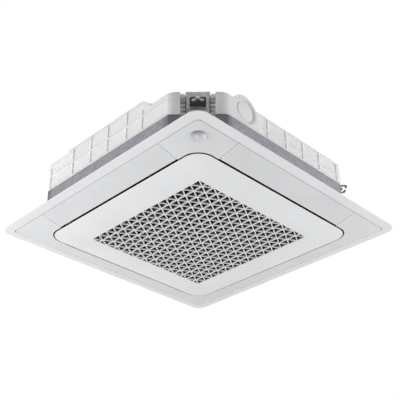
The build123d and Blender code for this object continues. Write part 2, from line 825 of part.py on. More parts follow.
with BuildPart() as body_shell:
    with BuildSketch(Plane.XY.offset(band_top_z)):
        add(body_outline(body_half, corner_out, service_corner_out, corner_round))
    extrude(amount=shoulder_z - band_top_z)
    fillet(body_shell.faces().sort_by(Axis.Z)[-1].edges(), shoulder_round)
    with BuildSketch(Plane.XY.offset(band_top_z)):
        add(corner_recesses(bracket_out + bracket_sheet, recess_width))
    extrude(amount=shoulder_z - band_top_z, mode=Mode.SUBTRACT)
    with BuildSketch(Plane.XY.offset(body_z + band_sheet)):
        add(band_outline(band_sheet + fit))
    extrude(amount=band_height - band_sheet)
    with BuildSketch(Plane.XY.offset(shoulder_z)):
        add(body_outline(block_half, block_out, block_out))
    extrude(amount=roof_z - shoulder_z)
    add(flush_wall(SIDES["left"], 1))
    add(flush_wall(SIDES["back"], -1))
    # round boss of the fresh-air knock-out on the front wall
    with BuildSketch(facing(SIDES["front"], block_half)):
        with Locations((-knockout_along, ceiling_z + knockout_height)):
            Circle(knockout_radius)
    extrude(amount=shoulder_width)
    # hollow inside, with an opening for the fan's motor in its roof
    with BuildSketch(Plane.XY.offset(body_z)):
        add(body_outline(cavity_half, cavity_out, cavity_out))
    extrude(amount=shoulder_z - roof - body_z, mode=Mode.SUBTRACT)
    with BuildSketch(Plane.XY.offset(body_z)):
        add(body_outline(block_cavity_half, block_out - wall, block_out - wall))
    extrude(amount=cavity_top_z - body_z, mode=Mode.SUBTRACT)
    with BuildSketch(Plane.XY.offset(cavity_top_z)):
        Circle(motor_flange_radius + rib)
    extrude(amount=roof, mode=Mode.SUBTRACT)
    # pocket behind each hanger bracket, and a ladder of steps on both sides of the two full corners
    for corner_angle in CORNERS.values():
        with BuildSketch(plan(corner_angle, band_top_z)):
            with Locations((bracket_out + bracket_sheet / 2, 0)):
                Rectangle(bracket_sheet + 2 * fit, bracket_width + 2 * fit)
        extrude(amount=shoulder_z - band_top_z, mode=Mode.SUBTRACT)
    ladder_width = recess_width / 2 - bracket_width / 2 - fit
    ladder_at = recess_width / 2 - ladder_width / 2
    for corner_name in ("front_left", "back_left"):
        for step in range(ladder_steps):
            with BuildSketch(plan(CORNERS[corner_name], ceiling_z + ladder_foot + step * ladder_pitch)):
                with Locations(
                    (bracket_out + bracket_sheet + ladder_reach / 2 - fit, -ladder_at),
                    (bracket_out + bracket_sheet + ladder_reach / 2 - fit, ladder_at),
                ):
                    Rectangle(ladder_reach + 2 * fit, ladder_width)
            extrude(amount=ladder_step)
    bay_low = band_top_z + rib
    left_rail = ceiling_z + left_rail_height
    front_rail = ceiling_z + front_rail_height
    back_wall_ribs = tuple(-place for place in reversed(left_wall_ribs[:-1]))
    right_wall_ribs = tuple(-place for place in reversed(front_wall_ribs))
    under_left, over_left = left_rail - rib / 2, left_rail + rib / 2
    add(wall_bays(SIDES["left"], left_wall_ribs, bay_low, under_left), mode=Mode.SUBTRACT)
    add(wall_bays(SIDES["left"], left_wall_ribs[1:-1], over_left, roof_z - rib), mode=Mode.SUBTRACT)
    add(wall_bays(SIDES["left"], left_wall_ribs[-2:], over_left, shoulder_z - rib), mode=Mode.SUBTRACT)
    add(wall_bays(SIDES["left"], left_wall_ribs[:2], over_left, shoulder_z), mode=Mode.SUBTRACT)
    add(wall_bays(SIDES["back"], back_wall_ribs, bay_low, under_left), mode=Mode.SUBTRACT)
    add(wall_bays(SIDES["back"], back_wall_ribs[:-1], over_left, roof_z - rib), mode=Mode.SUBTRACT)
    under_front, over_front = front_rail - rib / 2, front_rail + rib / 2
    front_high = ceiling_z + front_bay_height
    add(wall_bays(SIDES["front"], front_wall_ribs, bay_low, under_front), mode=Mode.SUBTRACT)
    add(wall_bays(SIDES["front"], front_wall_ribs, over_front, front_high), mode=Mode.SUBTRACT)
    add(wall_bays(SIDES["right"], right_wall_ribs, bay_low, under_front), mode=Mode.SUBTRACT)
    add(wall_bays(SIDES["right"], right_wall_ribs, over_front, front_high), mode=Mode.SUBTRACT)
    # ways out of the knock-out, the drain and the two pipes
    with BuildSketch(facing(SIDES["front"], cavity_half - wall)):
        with Locations((-knockout_along, ceiling_z + knockout_height)):
            Circle(knockout_disc_radius)
    extrude(amount=3 * wall, mode=Mode.SUBTRACT)
    with BuildSketch(facing(CORNERS["back_right"], cavity_out - wall)):
        with Locations((drain_along, drain_height)):
            Circle(drain_radius + fit)
        with Locations((pipe_along, gas_height)):
            Circle(gas_radius + fit)
        with Locations((pipe_along, liquid_height)):
            Circle(liquid_radius + fit)
    extrude(amount=4 * wall, mode=Mode.SUBTRACT)
body_shell.part.label = "body_shell"
export_step(body_shell.part, "parts/body_shell.step")

with BuildPart() as base_band:
    with BuildSketch(Plane.XY.offset(body_z)):
        add(band_outline(0))
    extrude(amount=band_height)
    with BuildSketch(Plane.XY.offset(body_z + band_sheet)):
        add(band_outline(band_sheet))
    extrude(amount=band_height, mode=Mode.SUBTRACT)
    with BuildSketch(Plane.XY.offset(body_z)):
        add(body_outline(band_half - band_flange, cavity_out, cavity_out))
    extrude(amount=band_sheet, mode=Mode.SUBTRACT)
base_band.part.label = "base_band"
export_step(base_band.part, "parts/base_band.step")

with BuildPart() as top_plate:
    with BuildSketch(Plane.XY.offset(roof_z)):
        add(roof_outline(lid))
    extrude(amount=lid)
    with BuildSketch(Plane.XY.offset(roof_z)):
        with PolarLocations(grommet_circle, grommets):
            Circle(grommet_radius / 3)
    extrude(amount=lid, mode=Mode.SUBTRACT)
top_plate.part.label = "top_plate"
export_step(top_plate.part, "parts/top_plate.step")

with BuildPart() as fresh_air_knockout:
    with BuildSketch(facing(SIDES["front"], body_half - knockout_plug - band_sheet)):
        with Locations((-knockout_along, ceiling_z + knockout_height)):
            Circle(knockout_disc_radius - fit)
    extrude(amount=knockout_plug)
    with BuildSketch(facing(SIDES["front"], body_half - band_sheet - bay_depth)):
        with Locations((-knockout_along, ceiling_z + knockout_height)):
            Circle(knockout_disc_radius - rib)
            Circle(knockout_disc_radius - 2 * rib, mode=Mode.SUBTRACT)
    extrude(amount=bay_depth, mode=Mode.SUBTRACT)
fresh_air_knockout.part.label = "fresh_air_knockout"
export_step(fresh_air_knockout.part, "parts/fresh_air_knockout.step")


# ------------------------------------------------------------------ hanger brackets
def hanger_bracket(name, angle):
    """Folded sheet up one corner, with a slotted plate that hangs on a threaded rod."""
    sheet_out = bracket_out + bracket_sheet
    hook_z = ceiling_z + hook_height
    pocket_out = bracket_out + hook_reach - pocket_inset
    with BuildPart() as bracket:
        with BuildSketch(plan(angle, body_z)):
            with Locations((bracket_out + bracket_sheet / 2, 0)):
                Rectangle(bracket_sheet, bracket_width)
        extrude(amount=bracket_rise)
        with BuildSketch(plan(angle, body_z)):
            with Locations((bracket_out + foot_reach / 2, 0)):
                Rectangle(foot_reach, bracket_width / 2)
            with Locations((bracket_out + foot_reach / 2, 0)):
                Circle(panel_screw_hole, mode=Mode.SUBTRACT)
        extrude(amount=bracket_sheet)
        for hand in (-1, 1):
            with BuildSketch(upright(angle, hand * (bracket_width - flange_sheet) / 2)):
                with BuildLine():
                    Polyline(
                        (bracket_out, body_z + bracket_sheet),
                        (sheet_out + foot_reach / 2, body_z + bracket_sheet),
                        (sheet_out + flange_reach, body_z + wide_rib + foot_reach),
                        (sheet_out + flange_reach, hook_z + wide_rib),
                        (sheet_out, body_z + bracket_rise - wide_rib),
                        (bracket_out, body_z + bracket_rise - wide_rib),
                        close=True,
                    )
                make_face()
            extrude(amount=flange_sheet / 2, both=True)
        with BuildSketch(plan(angle, hook_z)):
            with Locations((bracket_out + hook_reach / 2, 0)):
                RectangleRounded(hook_reach, hook_width, wide_rib / 2)
            with Locations((bracket_out + bracket_sheet / 2, 0)):
                Rectangle(bracket_sheet, bracket_width)
            with Locations((sheet_out + wide_rib / 2, 0)):
                Rectangle(wide_rib, hook_width)
            with Locations((pocket_out, -pocket_spacing / 2), (pocket_out, pocket_spacing / 2)):
                Circle(pocket_radius, mode=Mode.SUBTRACT)
            with Locations((pocket_out + pocket_radius / 2, 0)):
                Rectangle(pocket_radius, pocket_spacing, mode=Mode.SUBTRACT)
            with Locations((pocket_out + pocket_inset, 0)):
                Rectangle(2 * pocket_inset, mouth_width, mode=Mode.SUBTRACT)
        extrude(amount=hook_sheet)
    bracket.part.label = f"hanger_bracket_{name}"
    export_step(bracket.part, f"parts/hanger_bracket_{name}.step")


for corner, corner_angle in CORNERS.items():
    hanger_bracket(corner, corner_angle)

# Two hex-headed screws hold each bracket to the body.
with BuildPart() as bracket_screws:
    for angle in CORNERS.values():
        with BuildSketch(facing(angle, bracket_out + bracket_sheet)):
            with Locations((0, band_top_z - rib), (0, shoulder_z + rib / 2)):
                RegularPolygon(screw_head, 6)
        extrude(amount=bracket_sheet)
bracket_screws.part.label = "bracket_screws"
export_step(bracket_screws.part, "parts/bracket_screws.step")


# ------------------------------------------------------------------ drain pan and bell mouth
sump_half = pump_radius + wide_rib
coil_z = pan_floor_z + fit
coil_top_z = cavity_top_z - fit
pump_z = pan_floor_z + fit
with BuildPart() as drain_pan:
    with BuildSketch(Plane.XY.offset(pan_z)):
        add(body_outline(pan_side / 2, cavity_out - fit, cavity_out - fit))
        Circle(pan_bore_radius, mode=Mode.SUBTRACT)
    extrude(amount=pan_height)
    with BuildSketch(Plane.XY.offset(pan_floor_z)):
        channel_side = coil_side + 2 * coil_room
        channel_inner = coil_side - 2 * coil_depth - 2 * coil_room
        RectangleRounded(channel_side, channel_side, coil_corner_radius + coil_room)
        RectangleRounded(
            channel_inner,
            channel_inner,
            coil_corner_radius - coil_depth - coil_room,
            mode=Mode.SUBTRACT,
        )
    extrude(amount=pan_height, mode=Mode.SUBTRACT)
    with BuildSketch(plan(CORNERS["back_right"], pan_floor_z)):
        with Locations(((float_out + pump_out) / 2, 0)):
            Rectangle(pump_out - float_out + 2 * float_radius + wide_rib, 2 * sump_half)
        with Locations((pump_out, 0)):
            Circle(pump_radius + sump_room)
    extrude(amount=pan_height, mode=Mode.SUBTRACT)
    with BuildSketch(Plane.XY.offset(pan_z)):
        with GridLocations(mouth_screw_spacing, mouth_screw_spacing / 2, 2, 3):
            Circle(mouth_screw_radius + fit / 2)
    extrude(amount=mouth_screw_length - mouth_plate + fit, mode=Mode.SUBTRACT)
drain_pan.part.label = "drain_pan"
export_step(drain_pan.part, "parts/drain_pan.step")

# A flared ring that leads the air from the grille into the fan, on a square plate under the pan.
mouth_radius = throat_radius + throat_flare
lip_z = body_z + throat_flare
with BuildPart() as bell_mouth:
    with BuildSketch(Plane.XZ):
        with BuildLine():
            Line((throat_radius, lip_z), (throat_radius, lip_z + throat_lip))
            Line((throat_radius, lip_z + throat_lip), (throat_radius + throat_wall, lip_z + throat_lip))
            Line((throat_radius + throat_wall, lip_z + throat_lip), (throat_radius + throat_wall, lip_z))
            CenterArc((mouth_radius, lip_z), throat_flare - throat_wall, 180, 90)
            Line((mouth_radius, body_z + throat_wall), (mouth_radius + throat_wall, body_z + throat_wall))
            Line((mouth_radius + throat_wall, body_z + throat_wall), (mouth_radius + throat_wall, body_z))
            Line((mouth_radius + throat_wall, body_z), (mouth_radius, body_z))
            CenterArc((mouth_radius, lip_z), throat_flare, 180, 90)
        make_face()
    revolve(axis=Axis.Z)
    with BuildSketch(Plane.XY.offset(body_z)):
        RectangleRounded(mouth_plate_side, mouth_plate_side, 2 * wide_rib)
        Circle(mouth_radius, mode=Mode.SUBTRACT)
    extrude(amount=mouth_plate)
    with BuildSketch(Plane.XY.offset(body_z)):
        with GridLocations(mouth_screw_spacing, mouth_screw_spacing / 2, 2, 3):
            Circle(mouth_screw_radius + fit / 2)
    extrude(amount=mouth_plate, mode=Mode.SUBTRACT)
bell_mouth.part.label = "bell_mouth"
export_step(bell_mouth.part, "parts/bell_mouth.step")

with BuildPart() as bell_mouth_screws:
    with BuildSketch(Plane.XY.offset(body_z)):
        with GridLocations(mouth_screw_spacing, mouth_screw_spacing / 2, 2, 3):
            Circle(2 * mouth_screw_radius)
    extrude(amount=-mouth_screw_radius)
    with BuildSketch(Plane.XY.offset(body_z)):
        with GridLocations(mouth_screw_spacing, mouth_screw_spacing / 2, 2, 3):
            Circle(mouth_screw_radius)
    extrude(amount=mouth_screw_length)
bell_mouth_screws.part.label = "bell_mouth_screws"
export_step(bell_mouth_screws.part, "parts/bell_mouth_screws.step")


# ------------------------------------------------------------------ heat exchanger
# A finned ring, open at the back right corner, where its tubes turn round and the pipes leave.
with BuildPart() as coil_fins:
    with BuildSketch(Plane.XY.offset(coil_z)):
        RectangleRounded(coil_side, coil_side, coil_corner_radius)
        RectangleRounded(
            coil_side - 2 * coil_depth,
            coil_side - 2 * coil_depth,
            coil_corner_radius - coil_depth,
            mode=Mode.SUBTRACT,
        )
        with Locations((coil_opening + coil_side / 2, coil_opening + coil_side / 2)):
            Rectangle(coil_side, coil_side, mode=Mode.SUBTRACT)
    extrude(amount=coil_top_z - coil_z)
coil_fins.part.label = "coil_fins"
export_step(coil_fins.part, "parts/coil_fins.step")

with BuildPart() as coil_end_plate:
    with BuildSketch(Plane.XY.offset(coil_z)):
        with Locations((coil_half - coil_depth / 2, coil_opening + coil_plate / 2)):
            Rectangle(coil_depth + coil_plate, coil_plate)
        with Locations((coil_opening + coil_plate / 2, coil_half - coil_depth / 2)):
            Rectangle(coil_plate, coil_depth + coil_plate)
    extrude(amount=coil_top_z - coil_z)
coil_end_plate.part.label = "coil_end_plate"
export_step(coil_end_plate.part, "parts/coil_end_plate.step")

tube_end = coil_opening + coil_plate
tube_pitch = (coil_top_z - coil_z) / tube_rows
header_x = (header_out - pipe_along) / sqrt(2)
header_y = (header_out + pipe_along) / sqrt(2)
with BuildPart() as coil_tubes:
    for column in (coil_depth / 4, 3 * coil_depth / 4):
        across = coil_half - column
        for pair in range(tube_rows // 2):
            low = coil_z + tube_pitch * (2 * pair + 0.5)
            with BuildSketch(Plane(origin=(across, tube_end, low), x_dir=(1, 0, 0), z_dir=(0, 1, 0))):
                Circle(tube_radius)
            revolve(axis=Axis((across, tube_end, low + tube_pitch / 2), (1, 0, 0)), revolution_arc=180)
    for pair in range(tube_rows // 2):
        across = coil_half - 3 * coil_depth / 4
        low = coil_z + tube_pitch * (2 * pair + 0.5)
        with BuildSketch(Plane(origin=(tube_end, across, low), x_dir=(0, 1, 0), z_dir=(1, 0, 0))):
            Circle(tube_radius)
        revolve(axis=Axis((tube_end, across, low + tube_pitch / 2), (0, -1, 0)), revolution_arc=180)
    for row in range(1, tube_rows):
        height = coil_z + tube_pitch * (row + 0.5)
        across = coil_half - coil_depth / 4
        with BuildLine():
            FilletPolyline(
                (tube_end, across, height),
                (header_x, across, height),
                (header_x, header_y, height),
                radius=2 * tube_radius,
            )
        with BuildSketch(Plane(origin=(tube_end, across, height), x_dir=(0, 1, 0), z_dir=(1, 0, 0))):
            Circle(tube_radius)
        sweep()
    gas_low = coil_z + tube_pitch * 1.5 - 2 * tube_radius
    gas_high = coil_z + tube_pitch * 3.5 + 2 * tube_radius
    with BuildSketch(Plane.XY.offset(gas_low)):
        with Locations((header_x, header_y)):
            Circle(header_radius)
    extrude(amount=gas_high - gas_low)
    feeder_low = coil_z + tube_pitch * 4.5 - 2 * tube_radius
    feeder_high = coil_z + tube_pitch * 5.5 + 2 * tube_radius
    with BuildSketch(Plane.XY.offset(feeder_low)):
        with Locations((header_x, header_y)):
            Circle(feeder_radius)
    extrude(amount=feeder_high - feeder_low)
coil_tubes.part.label = "coil_tubes"
export_step(coil_tubes.part, "parts/coil_tubes.step")


def refrigerant_pipe(name, radius, thread_radius, header, height):
    """Straight pipe from the coil's header out through the service corner, and its flare union."""
    start = header_out + header + fit
    union_start = service_corner_out + pipe_reach - thread_length - union_length
    pipe_end = union_start + union_length / 2
    with BuildPart() as pipe:
        with BuildSketch(facing(CORNERS["back_right"], start)):
            with Locations((pipe_along, height)):
                Circle(radius)
                Circle(radius - pipe_wall, mode=Mode.SUBTRACT)
        extrude(amount=pipe_end - start)
    pipe.part.label = f"{name}_pipe"
    export_step(pipe.part, f"parts/{name}_pipe.step")
    with BuildPart() as union:
        with BuildSketch(facing(CORNERS["back_right"], union_start)):
            with Locations((pipe_along, height)):
                RegularPolygon(radius + union_wall, 6)
        extrude(amount=union_length)
        with BuildSketch(facing(CORNERS["back_right"], union_start)):
            with Locations((pipe_along, height)):
                Circle(thread_radius)
        extrude(amount=union_length + thread_length)
        with BuildSketch(facing(CORNERS["back_right"], union_start)):
            with Locations((pipe_along, height)):
                Circle(radius - pipe_wall)
        extrude(amount=union_length + thread_length, mode=Mode.SUBTRACT)
        with BuildSketch(facing(CORNERS["back_right"], union_start)):
            with Locations((pipe_along, height)):
                Circle(radius + running)
        extrude(amount=pipe_end + running - union_start, mode=Mode.SUBTRACT)
    union.part.label = f"{name}_flare_union"
    export_step(union.part, f"parts/{name}_flare_union.step")


refrigerant_pipe("gas", gas_radius, gas_thread_radius, header_radius, gas_height)
refrigerant_pipe("liquid", liquid_radius, liquid_thread_radius, feeder_radius, liquid_height)

# Cover plate round the two pipes on the cut service corner.
with BuildPart() as pipe_cover:
    with BuildSketch(facing(CORNERS["back_right"], service_corner_out)):
        with Locations((pipe_along, (gas_height + liquid_height) / 2)):
            RectangleRounded(pipe_cover_width, liquid_height - gas_height + 2 * pipe_cover_margin, rib)
        with Locations((pipe_along, gas_height)):
            Circle(gas_radius + fit, mode=Mode.SUBTRACT)
        with Locations((pipe_along, liquid_height)):
            Circle(liquid_radius + fit, mode=Mode.SUBTRACT)
    extrude(amount=bracket_sheet)
pipe_cover.part.label = "pipe_cover"
export_step(pipe_cover.part, "parts/pipe_cover.step")


# ------------------------------------------------------------------ drain pump, float, hose and outlet
spigot_z = pump_z + spigot_height
with BuildPart() as drain_pump:
    with BuildSketch(plan(CORNERS["back_right"], pump_z)):
        with Locations((pump_out, 0)):
            Circle(pump_radius)
    extrude(amount=pump_height)
    with BuildSketch(plan(CORNERS["back_right"], pump_z + pump_height)):
        with Locations((pump_out, 0)):
            Circle(pump_motor_radius)
    extrude(amount=pump_motor_height)
    with BuildSketch(upright(CORNERS["back_right"], -pump_radius - spigot_reach)):
        with Locations((pump_out, spigot_z)):
            Circle(hose_bore - pipe_wall)
    extrude(amount=-spigot_reach - pipe_wall)
    with BuildSketch(plan(CORNERS["back_right"], pump_z)):
        with Locations((pump_out, 0)):
            Circle(impeller_radius + impeller_room)
    extrude(amount=impeller_height + 2 * impeller_room, mode=Mode.SUBTRACT)
    with BuildSketch(plan(CORNERS["back_right"], pump_z)):
        with Locations((pump_out, 0)):
            Circle(impeller_shaft_radius + running)
    extrude(amount=impeller_room + impeller_height + impeller_shaft_length + seam, mode=Mode.SUBTRACT)
drain_pump.part.label = "drain_pump"
export_step(drain_pump.part, "parts/drain_pump.step")

with BuildPart() as pump_impeller:
    with BuildSketch(plan(CORNERS["back_right"], pump_z + impeller_room)):
        with Locations((pump_out, 0)):
            Circle(impeller_radius)
    extrude(amount=impeller_height / 4)
    with BuildSketch(plan(CORNERS["back_right"], pump_z + impeller_room)):
        with Locations((pump_out, 0)):
            with PolarLocations(0, 3):
                Rectangle(2 * impeller_radius - impeller_vane, impeller_vane)
    extrude(amount=impeller_height)
    with BuildSketch(plan(CORNERS["back_right"], pump_z + impeller_room)):
        with Locations((pump_out, 0)):
            Circle(impeller_shaft_radius)
    extrude(amount=impeller_height + impeller_shaft_length)
pump_impeller.part.label = "pump_impeller"
export_step(pump_impeller.part, "parts/pump_impeller.step")

float_z = pan_floor_z + fit
with BuildPart() as float_switch:
    with BuildSketch(plan(CORNERS["back_right"], float_z)):
        with Locations((float_out, 0)):
            Circle(float_radius)
    extrude(amount=skin)
    with BuildSketch(plan(CORNERS["back_right"], float_z)):
        with Locations((float_out, 0)):
            Circle(float_rod_radius)
    extrude(amount=float_rod_height)
    with BuildSketch(plan(CORNERS["back_right"], float_z + float_rod_height - skin)):
        with Locations((float_out, 0)):
            Circle(2 * float_rod_radius)
    extrude(amount=skin)
float_switch.part.label = "float_switch"
export_step(float_switch.part, "parts/float_switch.step")

with BuildPart() as switch_float:
    with BuildSketch(plan(CORNERS["back_right"], float_z + skin + running)):
        with Locations((float_out, 0)):
            Circle(float_radius)
            Circle(float_rod_radius + running, mode=Mode.SUBTRACT)
    extrude(amount=float_height)
switch_float.part.label = "switch_float"
export_step(switch_float.part, "parts/switch_float.step")

hose_end = cavity_out - bracket_sheet
corner = plan(CORNERS["back_right"])
with BuildPart() as drain_hose:
    with BuildLine():
        FilletPolyline(
            corner.from_local_coords(Vector(pump_out, -pump_radius - fit, spigot_z)),
            corner.from_local_coords(Vector(pump_out, drain_along, spigot_z)),
            corner.from_local_coords(Vector(pump_out, drain_along, drain_height)),
            corner.from_local_coords(Vector(hose_end, drain_along, drain_height)),
            radius=hose_bend,
        )
    with BuildSketch(upright(CORNERS["back_right"], -pump_radius - fit)):
        with Locations((pump_out, spigot_z)):
            Circle(hose_radius)
            Circle(hose_bore, mode=Mode.SUBTRACT)
    sweep()
drain_hose.part.label = "drain_hose"
export_step(drain_hose.part, "parts/drain_hose.step")

drain_end = service_corner_out + pipe_reach / 2
with BuildPart() as drain_outlet:
    with BuildSketch(facing(CORNERS["back_right"], hose_end)):
        with Locations((drain_along, drain_height)):
            Circle(drain_radius)
    extrude(amount=drain_end - hose_end)
    with BuildSketch(facing(CORNERS["back_right"], service_corner_out)):
        with Locations((drain_along, drain_height)):
            Circle(drain_radius + rib)
    extrude(amount=skin)
    with BuildSketch(facing(CORNERS["back_right"], hose_end)):
        with Locations((drain_along, drain_height)):
            Circle(hose_bore)
    extrude(amount=skin, mode=Mode.SUBTRACT)
    with BuildSketch(facing(CORNERS["back_right"], hose_end + skin)):
        with Locations((drain_along, drain_height)):
            Circle(drain_bore)
    extrude(amount=drain_end - hose_end, mode=Mode.SUBTRACT)
drain_outlet.part.label = "drain_outlet"
export_step(drain_outlet.part, "parts/drain_outlet.step")


# ------------------------------------------------------------------ fan and its motor
with BuildPart() as fan_motor:
    with BuildSketch(Plane.XY.offset(motor_low_z)):
        Circle(fan_motor_radius)
    extrude(amount=fan_motor_height)
    fillet(fan_motor.faces().sort_by(Axis.Z)[0].edges(), wide_rib / 2)
    with BuildSketch(Plane.XY.offset(flange_z - motor_flange)):
        Circle(motor_flange_radius)
    extrude(amount=motor_flange)
    with BuildSketch(Plane.XY.offset(motor_low_z)):
        Circle(shaft_radius + running)
    extrude(amount=fan_motor_height - bracket_sheet, mode=Mode.SUBTRACT)
fan_motor.part.label = "fan_motor"
export_step(fan_motor.part, "parts/fan_motor.step")

with BuildPart() as motor_grommets:
    with BuildSketch(Plane.XY.offset(flange_z)):
        with PolarLocations(grommet_circle, grommets):
            Circle(grommet_radius)
    extrude(amount=grommet_height)
motor_grommets.part.label = "motor_grommets"
export_step(motor_grommets.part, "parts/motor_grommets.step")

shaft_low_z = hub_low_z - fan_nut_height - bracket_sheet
with BuildPart() as motor_shaft:
    with BuildSketch(Plane.XY.offset(shaft_low_z)):
        Circle(shaft_radius)
    extrude(amount=motor_low_z + fan_motor_height - bracket_sheet - seam - shaft_low_z)
motor_shaft.part.label = "motor_shaft"
export_step(motor_shaft.part, "parts/motor_shaft.step")

with BuildPart() as fan_nut:
    with BuildSketch(Plane.XY.offset(hub_low_z - fan_nut_height)):
        RegularPolygon(fan_nut_radius, 6)
        Circle(shaft_radius + running, mode=Mode.SUBTRACT)
    extrude(amount=fan_nut_height)
fan_nut.part.label = "fan_nut"
export_step(fan_nut.part, "parts/fan_nut.step")

with BuildPart() as turbo_fan:
    with BuildSketch(Plane.XZ):
        with BuildLine():
            Polyline(
                (shaft_radius + running, hub_low_z),
                (hub_radius, hub_low_z),
                (hub_radius, hub_z),
                (dome_foot_radius, hub_z),
                (dome_radius, fan_roof_z - fan_wall),
                (fan_radius, fan_roof_z - fan_wall),
                (fan_radius, fan_roof_z),
                (dome_radius - fan_wall, fan_roof_z),
                (dome_foot_radius - fan_wall, hub_z + fan_wall),
                (hub_radius, hub_z + fan_wall),
                (hub_radius, hub_low_z + hub_length),
                (shaft_radius + running, hub_low_z + hub_length),
                close=True,
            )
        make_face()
    revolve(axis=Axis.Z)
    with BuildSketch(Plane.XY.offset(fan_low_z)):
        Circle(fan_radius)
        Circle(fan_inlet_radius, mode=Mode.SUBTRACT)
    extrude(amount=fan_wall)
    with BuildSketch(Plane.XY.offset(fan_low_z - fan_collar)):
        Circle(fan_inlet_radius + fan_wall)
        Circle(fan_inlet_radius, mode=Mode.SUBTRACT)
    extrude(amount=fan_collar)
    for blade in range(fan_blades):
        turn = 2 * pi * blade / fan_blades
        tip = turn - radians(blade_sweep)
        with BuildSketch(Plane.XY.offset(fan_low_z + fan_wall / 2)):
            with BuildLine():
                RadiusArc(
                    (blade_inner_radius * cos(turn), blade_inner_radius * sin(turn)),
                    (blade_outer_radius * cos(tip), blade_outer_radius * sin(tip)),
                    blade_bow,
                )
            trace(line_width=fan_wall)
        extrude(amount=fan_height - 3 * fan_wall / 2)
turbo_fan.part.label = "turbo_fan"
export_step(turbo_fan.part, "parts/turbo_fan.step")


# ------------------------------------------------------------------ controls and room sensor
box_low_z = body_z - fit - box_height
with BuildPart() as control_box:
    with BuildSketch(plan(SIDES["back"], box_low_z)):
        with Locations((box_out + box_width / 2, 0)):
            Rectangle(box_width, box_length)
    extrude(amount=box_height)
    with BuildSketch(plan(SIDES["back"], box_low_z)):
        with Locations((box_out + box_width / 2, 0)):
            Rectangle(box_width - 2 * box_wall, box_length - 2 * box_wall)
    extrude(amount=box_height - box_wall, mode=Mode.SUBTRACT)
    with BuildSketch(plan(SIDES["back"], box_low_z + board_drop + box_wall)):
        with Locations((box_out + box_width / 2, board_length / 4)):
            with GridLocations(board_width - 2 * rib, board_length - 2 * rib, 2, 2):
                Circle(rib / 2)
    extrude(amount=box_height - board_drop - 2 * box_wall)
control_box.part.label = "control_box"
export_step(control_box.part, "parts/control_box.step")

with BuildPart() as control_box_cover:
    with BuildSketch(plan(SIDES["back"], box_low_z - box_wall)):
        with Locations((box_out + box_width / 2, 0)):
            Rectangle(box_width, box_length)
    extrude(amount=box_wall)
control_box_cover.part.label = "control_box_cover"
export_step(control_box_cover.part, "parts/control_box_cover.step")

with BuildPart() as main_board:
    with BuildSketch(plan(SIDES["back"], box_low_z + board_drop)):
        with Locations((box_out + box_width / 2, board_length / 4)):
            Rectangle(board_width, board_length)
    extrude(amount=box_wall)
    with BuildSketch(plan(SIDES["back"], box_low_z + board_drop)):
        with Locations((box_out + box_width / 2, board_length / 4)):
            with GridLocations(board_width / 2, board_length / 5, 2, 4):
                Rectangle(board_width / 5, board_length / 9)
    extrude(amount=-board_drop / 2)
main_board.part.label = "main_board"
export_step(main_board.part, "parts/main_board.step")

with BuildPart() as terminal_block:
    with BuildSketch(plan(SIDES["back"], body_z - fit - box_wall)):
        with Locations((box_out + box_width / 2, -board_length / 2 - rib)):
            Rectangle(terminal_width, terminal_length)
    extrude(amount=board_drop - box_height + 2 * box_wall)
    with BuildSketch(plan(SIDES["back"], box_low_z + board_drop - box_wall)):
        with Locations((box_out + box_width / 2, -board_length / 2 - rib)):
            with GridLocations(terminal_width / 2, terminal_length / 5, 2, 4):
                Circle(rib / 2)
    extrude(amount=2 * box_wall, mode=Mode.SUBTRACT)
terminal_block.part.label = "terminal_block"
export_step(terminal_block.part, "parts/terminal_block.step")

with BuildPart() as room_sensor:
    with BuildSketch(Plane.XY.offset(body_z)):
        with Locations((-mouth_screw_spacing / 2 + 2 * wide_rib, -opening_half / 2)):
            Rectangle(wide_rib / 2, wide_rib)
    extrude(amount=-rib)
    with BuildSketch(Plane.XZ.offset(opening_half / 2 - wide_rib)):
        with Locations((-mouth_screw_spacing / 2 + 2 * wide_rib, body_z - rib)):
            Circle(rib / 2)
    extrude(amount=2 * wide_rib)
room_sensor.part.label = "room_sensor"
export_step(room_sensor.part, "parts/room_sensor.step")
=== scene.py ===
# %% [markdown]
# # A four-way ceiling cassette
#
# This lesson dresses a packed construction model of an air conditioner that hangs through a
# ceiling. The model brings the pieces at their real size. Blender adds what makes them look
# real: finishes, rounded edges, fins, nets and screws. Everything is in metres, +Z is up, and the
# ceiling would lie at z = 0.035.

# %% Load the fixed model
import json
from math import atan, cos, pi, radians, sin, sqrt

import bmesh
import bpy
from mathutils import Matrix, Quaternion, Vector

